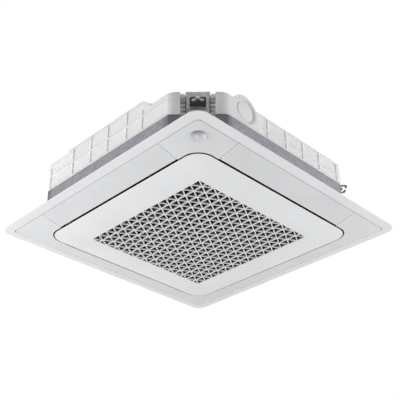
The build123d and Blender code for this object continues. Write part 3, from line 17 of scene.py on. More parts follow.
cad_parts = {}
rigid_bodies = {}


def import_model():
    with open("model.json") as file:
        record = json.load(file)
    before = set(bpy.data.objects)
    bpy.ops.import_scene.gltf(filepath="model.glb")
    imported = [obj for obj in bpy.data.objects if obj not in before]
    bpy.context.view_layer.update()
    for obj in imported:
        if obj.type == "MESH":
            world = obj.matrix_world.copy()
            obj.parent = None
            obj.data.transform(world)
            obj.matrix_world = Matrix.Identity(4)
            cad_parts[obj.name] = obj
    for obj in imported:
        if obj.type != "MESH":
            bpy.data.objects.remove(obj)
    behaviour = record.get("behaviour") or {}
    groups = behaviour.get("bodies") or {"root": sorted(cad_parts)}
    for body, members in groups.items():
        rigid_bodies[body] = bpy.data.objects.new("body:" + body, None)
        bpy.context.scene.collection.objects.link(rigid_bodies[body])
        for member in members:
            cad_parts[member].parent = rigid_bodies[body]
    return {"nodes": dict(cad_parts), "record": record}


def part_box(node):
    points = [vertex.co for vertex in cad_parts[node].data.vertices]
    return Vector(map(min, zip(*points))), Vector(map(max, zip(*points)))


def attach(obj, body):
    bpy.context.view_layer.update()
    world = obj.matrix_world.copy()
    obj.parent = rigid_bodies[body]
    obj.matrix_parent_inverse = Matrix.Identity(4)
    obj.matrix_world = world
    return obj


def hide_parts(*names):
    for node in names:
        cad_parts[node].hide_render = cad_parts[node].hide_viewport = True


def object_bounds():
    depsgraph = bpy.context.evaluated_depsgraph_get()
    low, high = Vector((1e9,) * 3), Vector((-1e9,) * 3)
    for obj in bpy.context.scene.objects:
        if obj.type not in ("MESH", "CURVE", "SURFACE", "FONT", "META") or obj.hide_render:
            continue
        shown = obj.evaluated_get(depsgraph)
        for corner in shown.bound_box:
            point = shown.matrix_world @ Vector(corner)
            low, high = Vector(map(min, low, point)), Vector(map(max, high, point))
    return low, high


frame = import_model()
cad_low, cad_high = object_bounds()
print("model box", [round(high - low, 4) for low, high in zip(cad_low, cad_high)])

# %% Names that come back often
corner_names = ("front_left", "front_right", "back_left", "back_right")
wall_names = ("front", "back", "left", "right")
slots = {entry["node"]: entry["material_slot"] for entry in frame["record"]["subparts"]}
ceiling_z = 0.035


def body_of(node):
    """The body that a model piece rides on."""
    return frame["nodes"][node].parent.name.split(":")[1]


# %% [markdown]
# ## The camera
#
# The photograph looks up at the unit from under one corner. Four straight edges of the panel meet
# in four corners, and from their places in a picture of 400 pixels the camera can be worked out:
# how far away it stands, how low, and how long its lens is. The panel's middle isn't in the middle
# of the picture, so the camera is aimed at it first and then turned a little.

# %% Lens and direction
picture_side = 400
picture_middle = picture_side / 2
focal_pixels = 796.4
aim_pixel = (198.5, 229.1)
sensor_width = 36.0
camera_distance = 2.701
camera_azimuth = radians(-45.0)
camera_elevation = radians(-29.2)
camera_roll = radians(-0.37)

camera_data = bpy.data.cameras.new("camera")
camera_data.sensor_width = sensor_width
camera_data.lens = focal_pixels / picture_side * sensor_width
camera = bpy.data.objects.new("camera", camera_data)
bpy.context.collection.objects.link(camera)
bpy.context.scene.camera = camera

ahead = Vector((
    -sin(camera_azimuth) * cos(camera_elevation),
    cos(camera_azimuth) * cos(camera_elevation),
    -sin(camera_elevation),
))
print("lens", round(camera_data.lens, 2), "mm")

# %% Aim
panel_middle = Vector((0, 0, ceiling_z))
turn_right = atan((picture_middle - aim_pixel[0]) / focal_pixels)
turn_up = atan((aim_pixel[1] - picture_middle) / focal_pixels)
aimed = ahead.to_track_quat("-Z", "Y")
sideways = Quaternion((0, 1, 0), -turn_right)
upwards = Quaternion((1, 0, 0), turn_up)
rolled = Quaternion((0, 0, 1), camera_roll)
camera.rotation_mode = "QUATERNION"
camera.rotation_quaternion = aimed @ sideways @ upwards @ rolled
camera.location = panel_middle - ahead * camera_distance


def picture_point(place):
    """Where a place falls in the picture, in pixels from its upper left corner."""
    turned = camera.rotation_quaternion.inverted() @ (Vector(place) - camera.location)
    across = picture_middle - focal_pixels * turned.x / turned.z
    down = picture_middle + focal_pixels * turned.y / turned.z
    return round(across, 1), round(down, 1)


for x in (cad_low[0], cad_high[0]):
    for y in (cad_low[1], cad_high[1]):
        print("panel corner", picture_point((x, y, ceiling_z)))

# %% [markdown]
# ## Nodes from a script
#
# Every finish here is a small tree of nodes. Three helpers keep such trees readable: one adds a
# node with its settings and inputs, one does a step of arithmetic, and one carries a value from one
# range to another.


# %% Helpers for node trees
def add_node(tree, kind, inputs=None, **settings):
    """One node of a tree, with its settings, and with its inputs set or linked."""
    made = tree.nodes.new(kind)
    for key, value in settings.items():
        setattr(made, key, value)
    for key, value in (inputs or {}).items():
        if isinstance(value, bpy.types.NodeSocket):
            tree.links.new(value, made.inputs[key])
        else:
            made.inputs[key].default_value = value
    return made


def number(tree, kind, *values):
    """One step of arithmetic on numbers or sockets."""
    return add_node(tree, "ShaderNodeMath", dict(enumerate(values)), operation=kind).outputs[0]


def rescaled(tree, value, start, end, low=0.0, high=1.0):
    """A value carried from start..end to low..high, and held inside that range."""
    limits = {"Value": value, "From Min": start, "From Max": end, "To Min": low, "To Max": high}
    return add_node(tree, "ShaderNodeMapRange", limits).outputs["Result"]


# %% [markdown]
# ## Background and floor
#
# The unit hangs high in a studio, and the floor far below it only catches light. A white background
# could be made with more light, but that would bleach the unit. So the world is white only for rays
# that come straight from the camera, or by way of a mirror or a glass, and dimmer for the light that
# it sheds. The floor is paler for such rays too, and a camera that stands under it sees through it.

# %% White background
sky_strength = 0.41
scene = bpy.context.scene
scene.view_settings.view_transform = "Standard"


def seen_directly(tree):
    """1 for rays from the camera, a mirror or a glass, and 0 for rays that gather light."""
    rays = add_node(tree, "ShaderNodeLightPath")
    either = number(tree, "MAXIMUM", rays.outputs["Is Camera Ray"], rays.outputs["Is Glossy Ray"])
    return number(tree, "MAXIMUM", either, rays.outputs["Is Transmission Ray"])


world = bpy.data.worlds.new("studio")
world.use_nodes = True
scene.world = world
tree = world.node_tree
sky = tree.nodes["Background"]
sky.inputs["Color"].default_value = (1.0, 1.0, 1.0, 1.0)
tree.links.new(rescaled(tree, seen_directly(tree), 0.0, 1.0, sky_strength, 1.0), sky.inputs["Strength"])
print("sky sheds", sky_strength, "and looks white")

# %% Pale floor
room_height = 4.5
floor_side = 26.0
floor_tone = 0.86
floor_roughness = 0.9
floor_paleness = 0.3
floor_z = ceiling_z - room_height

floor_mesh = bpy.data.meshes.new("floor")
floor_corners = [(x * floor_side / 2, y * floor_side / 2, floor_z)
                 for x, y in ((-1, -1), (1, -1), (1, 1), (-1, 1))]
floor_mesh.from_pydata(floor_corners, [], [(0, 1, 2, 3)])
floor = bpy.data.objects.new("floor", floor_mesh)
bpy.context.collection.objects.link(floor)

floor_paint = bpy.data.materials.new("floor_paint")
floor_paint.use_nodes = True
tree = floor_paint.node_tree
shader = tree.nodes["Principled BSDF"]
shader.inputs["Base Color"].default_value = (floor_tone, floor_tone, floor_tone, 1)
shader.inputs["Roughness"].default_value = floor_roughness
shader.inputs["Emission Color"].default_value = (1, 1, 1, 1)
paleness = number(tree, "MULTIPLY", seen_directly(tree), floor_paleness)
tree.links.new(paleness, shader.inputs["Emission Strength"])
from_below = add_node(tree, "ShaderNodeNewGeometry").outputs["Backfacing"]
tree.links.new(number(tree, "SUBTRACT", 1.0, from_below), shader.inputs["Alpha"])
floor_mesh.materials.append(floor_paint)
print("floor at", round(floor_z, 3))

# %% [markdown]
# ## Lamps
#
# Two big soft lamps stand low, one to the left and one to the right of the camera's line, so both
# visible walls are lit at a slant and the corner between them, which faces the camera, stays
# darker, as in the photograph. A third lamp hangs above and lights the top, which only other views
# show.

# %% Three soft lamps
lamp_target = Vector((0, 0, 0.1))


def soft_lamp(name, place, side, power):
    """Square lamp of this side in metres and power in watts, facing the unit's middle."""
    data = bpy.data.lights.new(name, "AREA")
    data.size = side
    data.energy = power
    lamp = bpy.data.objects.new(name, data)
    bpy.context.collection.objects.link(lamp)
    lamp.location = place
    lamp.rotation_mode = "QUATERNION"
    lamp.rotation_quaternion = (lamp_target - lamp.location).to_track_quat("-Z", "Y")
    print(name, "of", power, "W")


soft_lamp("left_lamp", (-2.9, 2.0, -1.4), side=2.0, power=108)
soft_lamp("right_lamp", (2.3, -2.8, -0.8), side=2.0, power=86)
soft_lamp("top_lamp", (2.4, 1.2, 2.4), side=1.6, power=60)

# %% [markdown]
# ## Moulded finishes
#
# Moulded plastic is never one flat colour. Its mould is etched, so it has a fine grain, and its
# gloss changes a little from place to place. A picture of plastic could be laid on it, but a
# pattern of nodes needs no file and stays sharp. All patterns here read Object coordinates, which
# are metres in the unit's own frame, so a grain of 0.9 mm stays 0.9 mm in every view.

# %% A new finish
finishes = {}


def place_in(tree):
    """The place on the object, in metres, that a pattern reads."""
    return add_node(tree, "ShaderNodeTexCoord").outputs["Object"]


def new_finish(name):
    """A new material, kept under its name: its tree, its shader and the place to read."""
    finishes[name] = bpy.data.materials.new(name)
    finishes[name].use_nodes = True
    tree = finishes[name].node_tree
    return tree, tree.nodes["Principled BSDF"], place_in(tree)


# %% Noise, tint and relief
noise_low, noise_high = 0.3, 0.7
drift_detail = 3.0
edge_samples = 8


def noise(tree, place, size, detail):
    """Noise from 0 to 1, in patches of this size in metres."""
    made = add_node(tree, "ShaderNodeTexNoise", {"Vector": place, "Scale": 1 / size, "Detail": detail})
    return made.outputs["Fac"]


def drift(tree, place, patch, low, high):
    """A number that drifts slowly between low and high, over patches of this size in metres."""
    return rescaled(tree, noise(tree, place, patch, drift_detail), noise_low, noise_high, low, high)


def tint(tree, amount, dark, light):
    """A colour between dark and light, by an amount from 0 to 1."""
    ramp = add_node(tree, "ShaderNodeValToRGB", {"Fac": amount})
    ramp.color_ramp.elements[0].color = (*dark, 1)
    ramp.color_ramp.elements[1].color = (*light, 1)
    return ramp.outputs["Color"]


def relief(tree, shader, height, depth, edge=0.0):
    """Bumps of this depth in metres, from a height of 0 to 1, and shading that rounds the edges."""
    bump = add_node(tree, "ShaderNodeBump", {"Height": height, "Distance": depth})
    if edge:
        rounded = add_node(tree, "ShaderNodeBevel", {"Radius": edge}, samples=edge_samples)
        tree.links.new(rounded.outputs["Normal"], bump.inputs["Normal"])
    tree.links.new(bump.outputs["Normal"], shader.inputs["Normal"])


# %% A moulded or painted surface
grain_detail = 2.0


def moulded(name, dark, light, gloss=(0.36, 0.44), grain=0.0009, depth=0.000018, patch=0.12, metal=0.0,
            edge=0.0):
    """Moulded plastic, paint or plain metal, with a slow drift of colour, a quicker one of gloss, and a
    fine grain. Sizes are in metres."""
    tree, shader, place = new_finish(name)
    tree.links.new(tint(tree, drift(tree, place, patch, 0, 1), dark, light), shader.inputs["Base Color"])
    tree.links.new(drift(tree, place, patch / 3, *gloss), shader.inputs["Roughness"])
    relief(tree, shader, noise(tree, place, grain, grain_detail), depth, edge)
    shader.inputs["Metallic"].default_value = metal


# %% White and pale pieces
moulded("cover_white", (0.72, 0.73, 0.745), (0.76, 0.77, 0.785), gloss=(0.42, 0.5), edge=0.0005)
moulded("louvre_white", (0.70, 0.71, 0.725), (0.745, 0.755, 0.77), gloss=(0.42, 0.5))
moulded("grille_hardware", (0.62, 0.63, 0.64), (0.68, 0.69, 0.70))
moulded("sensor_lens", (0.68, 0.69, 0.70), (0.73, 0.74, 0.75), gloss=(0.3, 0.4))
moulded("small_motor", (0.52, 0.52, 0.48), (0.58, 0.58, 0.54))
moulded("float_white", (0.68, 0.68, 0.64), (0.74, 0.74, 0.70))
moulded("box_paint", (0.46, 0.47, 0.48), (0.52, 0.53, 0.54), gloss=(0.35, 0.5))
moulded("panel_white", (0.80, 0.81, 0.82), (0.84, 0.85, 0.86), gloss=(0.34, 0.42))
moulded("grille_white", (0.82, 0.83, 0.84), (0.86, 0.87, 0.88), gloss=(0.34, 0.42))
calm_shine = 0.35
for name in ("panel_white", "grille_white"):
    finishes[name].node_tree.nodes["Principled BSDF"].inputs["Specular IOR Level"].default_value = calm_shine
print(len(finishes), "pale finishes")

# %% Dark pieces
moulded("filter_plastic", (0.035, 0.037, 0.04), (0.05, 0.052, 0.056))
moulded("filter_net", (0.012, 0.013, 0.014), (0.02, 0.021, 0.023), gloss=(0.6, 0.7))
moulded("grey_plastic", (0.22, 0.23, 0.25), (0.27, 0.28, 0.30))
moulded("fan_plastic", (0.09, 0.10, 0.11), (0.12, 0.13, 0.145), gloss=(0.4, 0.5))
moulded("motor_black", (0.012, 0.012, 0.013), (0.02, 0.02, 0.022), gloss=(0.3, 0.45))
moulded("rubber_black", (0.01, 0.01, 0.01), (0.018, 0.018, 0.018), gloss=(0.6, 0.75))
moulded("seal_foam", (0.015, 0.015, 0.016), (0.03, 0.03, 0.032), gloss=(0.8, 0.9), grain=0.0015,
        depth=0.0003)
moulded("sensor_black", (0.01, 0.01, 0.011), (0.02, 0.02, 0.021), gloss=(0.3, 0.4))
moulded("terminal_black", (0.012, 0.012, 0.013), (0.022, 0.022, 0.024))
moulded("board_green", (0.012, 0.09, 0.04), (0.02, 0.13, 0.06), gloss=(0.2, 0.35))
print(len(finishes), "finishes with the dark ones")

# %% Metals
moulded("screw_steel", (0.42, 0.43, 0.46), (0.54, 0.55, 0.57), gloss=(0.25, 0.4), metal=1.0)
moulded("copper", (0.62, 0.27, 0.15), (0.75, 0.36, 0.22), gloss=(0.25, 0.42), metal=1.0)
moulded("nut_brass", (0.62, 0.44, 0.17), (0.72, 0.53, 0.24), gloss=(0.2, 0.34), metal=1.0)
moulded("fins", (0.66, 0.70, 0.74), (0.74, 0.77, 0.80), gloss=(0.3, 0.45), metal=1.0)
print(len(finishes), "finishes with the metals")

# %% [markdown]
# ## Painted shade on white pieces
#
# Some white pieces carry painted shade. The grille's small holes are painted darker the deeper one
# looks, as shade falls there, and a painted dark strip round its edge stands for the shadowed gap
# beside it. The panel frame's air channels, behind the louvres, are painted black as shade, and that
# makes the seams beside the louvres dark lines. The dish of the remote control's receiver has painted
# shade on the side of the corner. Each could be a piece of its own. Most of these places follow
# rounded squares about the unit's axis, so a small test of place darkens them instead, and the mesh
# needs no cut.


# %% Open a finish and darken it
mix_amount, mix_from, mix_to, mixed_colour = 0, 6, 7, 2


def surface(name):
    """A finish's tree, and the place that a test in it reads."""
    tree = finishes[name].node_tree
    return tree, place_in(tree)


def darkened(name, amount, dark):
    """Carry a finish's colour towards a darker one, by an amount from 0 to 1."""
    tree = finishes[name].node_tree
    colour = tree.nodes["Principled BSDF"].inputs["Base Color"]
    before = colour.links[0].from_socket
    blend = {mix_amount: amount, mix_from: before, mix_to: (*dark, 1)}
    mixed = add_node(tree, "ShaderNodeMix", blend, data_type="RGBA")
    tree.links.new(mixed.outputs[mixed_colour], colour)


# %% Tests of place
def inside_square(tree, place, half, radius):
    """1 inside a square about the unit's axis, with its corners rounded, and 0 outside."""
    axes = add_node(tree, "ShaderNodeSeparateXYZ", {0: place})
    past = []
    for axis in ("X", "Y"):
        away = number(tree, "ABSOLUTE", axes.outputs[axis])
        over = number(tree, "MAXIMUM", number(tree, "SUBTRACT", away, half - radius), 0.0)
        past.append(number(tree, "MULTIPLY", over, over))
    return number(tree, "LESS_THAN", number(tree, "ADD", *past), radius ** 2)


def outside(tree, inner):
    """1 where this is 0, and 0 where it is 1."""
    return number(tree, "SUBTRACT", 1.0, inner)


def height_above(tree, place, low, high):
    """0 at or under the height low, and 1 at or over the height high."""
    axes = add_node(tree, "ShaderNodeSeparateXYZ", {0: place})
    return rescaled(tree, axes.outputs["Z"], low, high)


# %% Painted shade in the grille's holes and round its edge
painted_shade_black = (0.010, 0.010, 0.011)
hole_shade_grey = (0.016, 0.016, 0.018)
hole_shade_start, hole_shade_end = 0.0006, 0.0095
hole_shade_rise = 0.6
lattice_half, lattice_radius = 0.256, 0.001
grille_half, grille_radius = 0.360, 0.055
shade_strip_width = 0.0009

tree, place = surface("grille_white")
# Painted shade: the lattice's holes darken with depth, as less light reaches deep into them.
hole_shade = number(tree, "POWER", height_above(tree, place, hole_shade_start, hole_shade_end), hole_shade_rise)
in_lattice = inside_square(tree, place, lattice_half, lattice_radius)
darkened("grille_white", number(tree, "MULTIPLY", hole_shade, in_lattice), hole_shade_grey)
# Painted shade: a dark strip round the grille's edge stands for the shadowed gap beside the louvres.
within = inside_square(tree, place, grille_half - shade_strip_width, grille_radius - shade_strip_width)
darkened("grille_white", outside(tree, within), painted_shade_black)
print("dust reaches its full tone at", hole_shade_end * 1000, "mm")

# %% The receiver's painted shade
dish_shade_start, dish_shade_end = 0.557, 0.573
dish_shade_grey = (0.20, 0.20, 0.21)
diagonal = sqrt(0.5)

tree, place = surface("sensor_lens")
axes = add_node(tree, "ShaderNodeSeparateXYZ", {0: place})
outward_reach = number(tree, "MULTIPLY", number(tree, "ADD", axes.outputs["X"], axes.outputs["Y"]), -diagonal)
# Painted shade: the dish darkens towards the corner's side, where its deep part lies in shadow.
darkened("sensor_lens", rescaled(tree, outward_reach, dish_shade_start, dish_shade_end), dish_shade_grey)
print("tinted from", dish_shade_start, "m outward")

# %% Painted shade in the air channels
seam_half, seam_radius = 0.4431, 0.0141
ring_half, ring_radius = 0.344, 0.0895
channel_shade_from, channel_shade_to = ceiling_z - 0.0011, ceiling_z - 0.001

tree, place = surface("panel_white")
under_ceiling = outside(tree, height_above(tree, place, channel_shade_from, channel_shade_to))
behind = number(tree, "MULTIPLY", inside_square(tree, place, seam_half, seam_radius), under_ceiling)
beside_ring = outside(tree, inside_square(tree, place, ring_half, ring_radius))
# Painted shade: the air channels behind the louvres are painted black, so the seams show as dark gaps.
darkened("panel_white", number(tree, "MULTIPLY", behind, beside_ring), painted_shade_black)
print("channels lined from", ring_half, "to", seam_half)

# %% [markdown]
# ## Foam
#
# The body is beaded foam. Its beads are pressed flat against the mould, so each shows as a cell of
# 3 to 5 mm with a fine sunk outline, which a Voronoi pattern gives. Light seeps through foam, so its
# ribs cast almost no shade, and subsurface scattering does that. Its edges are soft too. They could
# be modelled, but a Bevel node in the finish rounds them with no more faces.

# %% Beaded foam
bead_outline = 0.12
foam_edge = 0.003
foam_roughness = 0.62
foam_shine = 0.3
foam_glow, foam_reach = 0.6, 0.02
foam_patch, foam_low = 0.09, 0.45


def beaded(name, dark, light, bead=0.0042, depth=0.00025):
    """Beaded foam with flattened cells and sunk outlines."""
    tree, shader, place = new_finish(name)
    cells = add_node(tree, "ShaderNodeTexVoronoi", {"Vector": place, "Scale": 1 / bead},
                     feature="DISTANCE_TO_EDGE")
    outline = rescaled(tree, cells.outputs["Distance"], 0.0, bead_outline)
    shade = number(tree, "MULTIPLY", outline, drift(tree, place, foam_patch, foam_low, 1))
    tree.links.new(tint(tree, shade, dark, light), shader.inputs["Base Color"])
    relief(tree, shader, outline, depth, edge=foam_edge)
    shader.inputs["Roughness"].default_value = foam_roughness
    shader.inputs["Specular IOR Level"].default_value = foam_shine
    shader.inputs["Subsurface Weight"].default_value = foam_glow
    shader.inputs["Subsurface Scale"].default_value = foam_reach
    shader.inputs["Subsurface Radius"].default_value = (1.0, 1.0, 1.0)


beaded("foam_white", (0.80, 0.80, 0.80), (0.87, 0.87, 0.87))
beaded("pan_foam", (0.72, 0.72, 0.72), (0.80, 0.80, 0.80))
print("light seeps", foam_reach * 1000, "mm into foam")

# %% [markdown]
# ## Galvanised sheet
#
# Galvanised sheet shows crystals of zinc, each a slightly other grey. The Voronoi pattern that made
# the foam's beads makes them too, at a larger scale and with a random tone for each cell. The hanger
# brackets have smaller, brighter crystals. Their hook plates carry painted shade, as their
# undersides lie in shadow, and so does the casing's band towards its corners, where its facets turn
# from the lamps.

# %% Zinc
zinc_gloss = (0.46, 0.62)
handling_patch, handling = 0.2, 0.15


def zinc_coated(name, dark, light, crystal=0.011, metal=0.6):
    """Zinc-coated sheet: crystals of slightly different greys, brushed a little by handling."""
    tree, shader, place = new_finish(name)
    cells = add_node(tree, "ShaderNodeTexVoronoi", {"Vector": place, "Scale": 1 / crystal})
    grey = add_node(tree, "ShaderNodeSeparateColor", {"Color": cells.outputs["Color"]})
    slow = drift(tree, place, handling_patch, -handling, handling)
    shade = add_node(tree, "ShaderNodeMath", {0: grey.outputs["Red"], 1: slow}, operation="ADD",
                     use_clamp=True)
    tree.links.new(tint(tree, shade.outputs[0], dark, light), shader.inputs["Base Color"])
    rough = rescaled(tree, grey.outputs["Green"], 0.0, 1.0, *zinc_gloss)
    tree.links.new(rough, shader.inputs["Roughness"])
    shader.inputs["Metallic"].default_value = metal


zinc_coated("galvanised", (0.26, 0.265, 0.295), (0.32, 0.325, 0.355))
zinc_coated("bracket_zinc", (0.30, 0.30, 0.31), (0.50, 0.50, 0.515), crystal=0.005)
print(len(finishes), "finishes in all")

# %% Painted shade on hooks and corners
hook_start, hook_end, hook_shade_amount = 0.4706, 0.4709, 0.8
corner_start, corner_end, corner_shade_amount = 0.485, 0.5045, 0.7


def shaded_outward(name, start, end, shade_amount, dark):
    """Paint shade on a finish from a reach of start along the nearest diagonal, in full from end."""
    tree, place = surface(name)
    axes = add_node(tree, "ShaderNodeSeparateXYZ", {0: place})
    away = [number(tree, "ABSOLUTE", axes.outputs[axis]) for axis in ("X", "Y")]
    reach = number(tree, "MULTIPLY", number(tree, "ADD", *away), diagonal)
    rise = rescaled(tree, reach, start, end)
    darkened(name, number(tree, "MULTIPLY", rise, shade_amount), dark)


# Painted shade: the hook plates' undersides, which lie in shadow, are darkened.
shaded_outward("bracket_zinc", hook_start, hook_end, hook_shade_amount, (0.06, 0.06, 0.065))
# Painted shade: the band's corner facets, turned from the lamps, are darkened.
shaded_outward("galvanised", corner_start, corner_end, corner_shade_amount, (0.07, 0.07, 0.08))
print("hooks dull from", hook_start, "and corners from", corner_start)

# %% [markdown]
# ## Every model piece gets its finish
#
# The record gives each piece a material slot, and a finish of the same name waits for it. The model
# pieces keep their meshes, and only their material slots are filled.


# %% Fill the material slots
def coat(node, finish):
    """Put a finish on a model piece."""
    materials = frame["nodes"][node].data.materials
    for index in range(len(materials)):
        materials[index] = finishes[finish]


finish_of = dict(slots)
for corner in corner_names:
    finish_of[f"hanger_bracket_{corner}"] = "bracket_zinc"
for node, finish in finish_of.items():
    coat(node, finish)
print("finishes on", len(finish_of), "pieces")

# %% [markdown]
# ## How a new piece joins the unit
#
# A piece made here rides on one of the model's bodies, so it moves with it. It takes its finish
# from a slot of the record, and it may stand for a plainer piece of the model. Its place is in its
# mesh, and its object stays at the origin, because the patterns read the object's own coordinates.


# %% Join a piece
def join_unit(name, mesh, body, slot, *stands_for, finish=None):
    """A finished mesh as a piece of the unit, on one body, in place of these model pieces."""
    made = bpy.data.objects.new(name, mesh)
    bpy.context.collection.objects.link(made)
    mesh.materials.clear()
    mesh.materials.append(finishes[finish or slot])
    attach(made, body)
    if stands_for:
        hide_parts(*stands_for)
    print(name, "has", len(mesh.polygons), "faces")


# %% Two ways to a plain mesh
def plain_mesh(holder):
    """The mesh that an object's modifiers make. The object itself is thrown away."""
    bpy.context.view_layer.update()
    made = bpy.data.meshes.new_from_object(holder.evaluated_get(bpy.context.evaluated_depsgraph_get()))
    bpy.data.objects.remove(holder)
    return made


def finished_mesh(name, shape):
    """A bmesh shape as a smooth-shaded mesh."""
    made = bpy.data.meshes.new(name)
    shape.to_mesh(made)
    shape.free()
    made.shade_smooth()
    return made


# %% [markdown]
# ## Rounded edges
#
# No moulding or folded sheet has a perfectly sharp edge, and a small rounding catches the light as a
# fine line. A copy of the model's piece is merged from loose triangles, flat areas are joined to
# single faces, and a Bevel modifier rounds what is still sharp. Weighted normals then keep the flat
# areas flat. The foam casing and the near corner's cover stay as the model has them, because a Bevel
# node in their finish already softens their edges.

# %% Copy a model piece
merge_distance = 2e-6
flat_within = radians(1)


def whole_copy(node):
    """The node's loose triangles merged into whole faces."""
    shape = bmesh.new()
    shape.from_mesh(frame["nodes"][node].data)
    bmesh.ops.remove_doubles(shape, verts=shape.verts, dist=merge_distance)
    bmesh.ops.dissolve_limit(shape, angle_limit=flat_within, verts=shape.verts, edges=shape.edges)
    shape.verts.index_update()
    return shape


# %% Round its edges
sharp_from = radians(40)
edge_steps = 2


def rounded_mesh(name, shape, width):
    """A plain mesh of a shape, with its sharp edges rounded to this width."""
    bare = bpy.data.meshes.new(name)
    bare.from_pydata([vertex.co[:] for vertex in shape.verts], [],
                     [[vertex.index for vertex in face.verts] for face in shape.faces])
    shape.free()
    bare.shade_smooth()
    holder = bpy.data.objects.new(name, bare)
    bpy.context.collection.objects.link(holder)
    bevel = holder.modifiers.new("round", "BEVEL")
    bevel.width = width
    bevel.segments = edge_steps
    bevel.limit_method = "ANGLE"
    bevel.angle_limit = sharp_from
    bevel.use_clamp_overlap = False
    holder.modifiers.new("flats", "WEIGHTED_NORMAL")
    return plain_mesh(holder)


# %% Which edges, and how round
edge_widths = {
    "drain_pan": 0.0015, "base_band": 0.0009, "panel_frame": 0.0007, "bell_mouth": 0.0006,
    "control_box": 0.0006, "control_box_cover": 0.0006, "filter_frame": 0.0005,
    "fresh_air_knockout": 0.0012,
}
edge_widths |= {f"hanger_bracket_{corner}": 0.0008 for corner in corner_names}
edge_widths |= {f"louvre_{wall}": 0.0004 for wall in wall_names}

for node, width in edge_widths.items():
    name = f"{node}_rounded"
    mesh = rounded_mesh(name, whole_copy(node), width)
    join_unit(name, mesh, body_of(node), slots[node], node, finish=finish_of[node])

# %% [markdown]
# ## The sensor's dish
#
# The near corner's cover has a round dish for the remote control's receiver. It is deepest on the
# side of the corner and runs out level on the other side, with a small dome in its middle. It could
# be cut from a block, but a round grid of points is simpler: the rings carry the depth, and the
# whole leans as the cover does.

# %% A point of the dish
dish_out, dish_radius, dish_depth = 0.556, 0.0222, 0.0105
dome_radius, dome_height = 0.0065, 0.0035
dish_rings, dish_sectors = 16, 48
shallow_share = 0.12
slope_power, lip_power = 1.2, 5
cover_low, cover_lean = 0.0174, 0.170
toward_corner = Vector((-diagonal, -diagonal, 0))
beside_corner = Vector((-diagonal, diagonal, 0))


def dish_point(share, turn):
    """A point of the dish, at a share of its radius and turned this far from the corner's side."""
    along, across = share * dish_radius * cos(turn), share * dish_radius * sin(turn)
    slope = ((share * cos(turn) + 1) / 2) ** slope_power
    deep = dish_depth * (shallow_share + (1 - shallow_share) * slope) * (1 - share ** lip_power)
    dome = dome_height * max(0.0, 1 - (share * dish_radius / dome_radius) ** 2)
    point = toward_corner * (dish_out + along) + beside_corner * across
    return point.x, point.y, cover_low + cover_lean * along + deep - dome


print("dish is", dish_depth * 1000, "mm deep towards the corner")

# %% Dish
dish_back = 0.001
point_gap = 1e-7
dish_crease = radians(50)


def dish_mesh():
    """The leaning dish, as rings of points round its middle, closed by a back."""
    shape = bmesh.new()
    turns = [2 * pi * sector / dish_sectors for sector in range(dish_sectors)]
    rings = [[shape.verts.new(dish_point(ring / dish_rings, turn)) for turn in turns]
             for ring in range(dish_rings + 1)]
    back_z = cover_low + cover_lean * dish_radius + dish_depth + dish_back
    rim = rings[-1]
    back = [shape.verts.new((vertex.co.x, vertex.co.y, back_z)) for vertex in rim]
    for inner, outer in zip(rings, rings[1:] + [back]):
        for sector in range(dish_sectors):
            following = (sector + 1) % dish_sectors
            shape.faces.new((inner[sector], inner[following], outer[following], outer[sector]))
    shape.faces.new(back)
    bmesh.ops.remove_doubles(shape, verts=shape.verts, dist=point_gap)
    bmesh.ops.recalc_face_normals(shape, faces=shape.faces)
    made = finished_mesh("sensor_dish", shape)
    made.set_sharp_from_angle(angle=dish_crease)
    return made


join_unit("sensor_dish", dish_mesh(), "unit", "sensor_lens", "sensor_cap")

# %% [markdown]
# ## Foam crowns over the ladders
#
# Beside each hanger bracket of the two full corners, the foam has a ladder of small steps. Over the
# last step the foam closes again with a thick lip. A lip is a block with well-rounded edges.

# %% Crowns
crown_inner, crown_outer = 0.4702, 0.494
crown_low, crown_high = 0.2085, 0.2225
crown_from, crown_to = 0.0376, 0.0535
crown_edge, crown_edge_steps, round_profile = 0.004, 3, 0.5


def crown_mesh():
    """Four rounded blocks, two beside each bracket of the left corners."""
    shape = bmesh.new()
    lengths = (crown_outer - crown_inner, crown_to - crown_from, crown_high - crown_low)
    size = Matrix.Diagonal((*lengths, 1))
    middle_z = Vector((0, 0, (crown_low + crown_high) / 2))
    for corner_y in (-1, 1):
        toward = Vector((-diagonal, corner_y * diagonal, 0))
        beside = Vector((diagonal, corner_y * diagonal, 0))
        turned = Matrix.Rotation(toward.to_2d().angle_signed(Vector((1, 0))), 4, "Z")
        for side in (-1, 1):
            along = toward * (crown_inner + crown_outer) / 2
            across = beside * side * (crown_from + crown_to) / 2
            place = Matrix.Translation(along + across + middle_z)
            bmesh.ops.create_cube(shape, size=1.0, matrix=place @ turned @ size)
    bmesh.ops.bevel(shape, geom=shape.edges[:], offset=crown_edge, segments=crown_edge_steps,
                    profile=round_profile, affect="EDGES")
    return finished_mesh("ladder_crowns", shape)


join_unit("ladder_crowns", crown_mesh(), "unit", "foam_white")

# %% [markdown]
# ## Geometry Nodes in a script
#
# Fins, threads, screws and pressed beads all repeat, so a small tree of nodes makes each kind. A
# tree here has named inputs for its sizes. A modifier runs it once on a base mesh, the result is
# copied to a plain mesh, and the base is thrown away, so only ordinary faces stay in the scene.


# %% Start and end a tree
def new_tree(name, **inputs):
    """A geometry tree with one number input for each name given, its input sockets and its end."""
    tree = bpy.data.node_groups.new(name, "GeometryNodeTree")
    tree.interface.new_socket("Geometry", in_out="INPUT", socket_type="NodeSocketGeometry")
    for label, value in inputs.items():
        kind = "NodeSocketInt" if isinstance(value, int) else "NodeSocketFloat"
        tree.interface.new_socket(label, in_out="INPUT", socket_type=kind).default_value = value
    tree.interface.new_socket("Geometry", in_out="OUTPUT", socket_type="NodeSocketGeometry")
    return tree, tree.nodes.new("NodeGroupInput").outputs, tree.nodes.new("NodeGroupOutput")


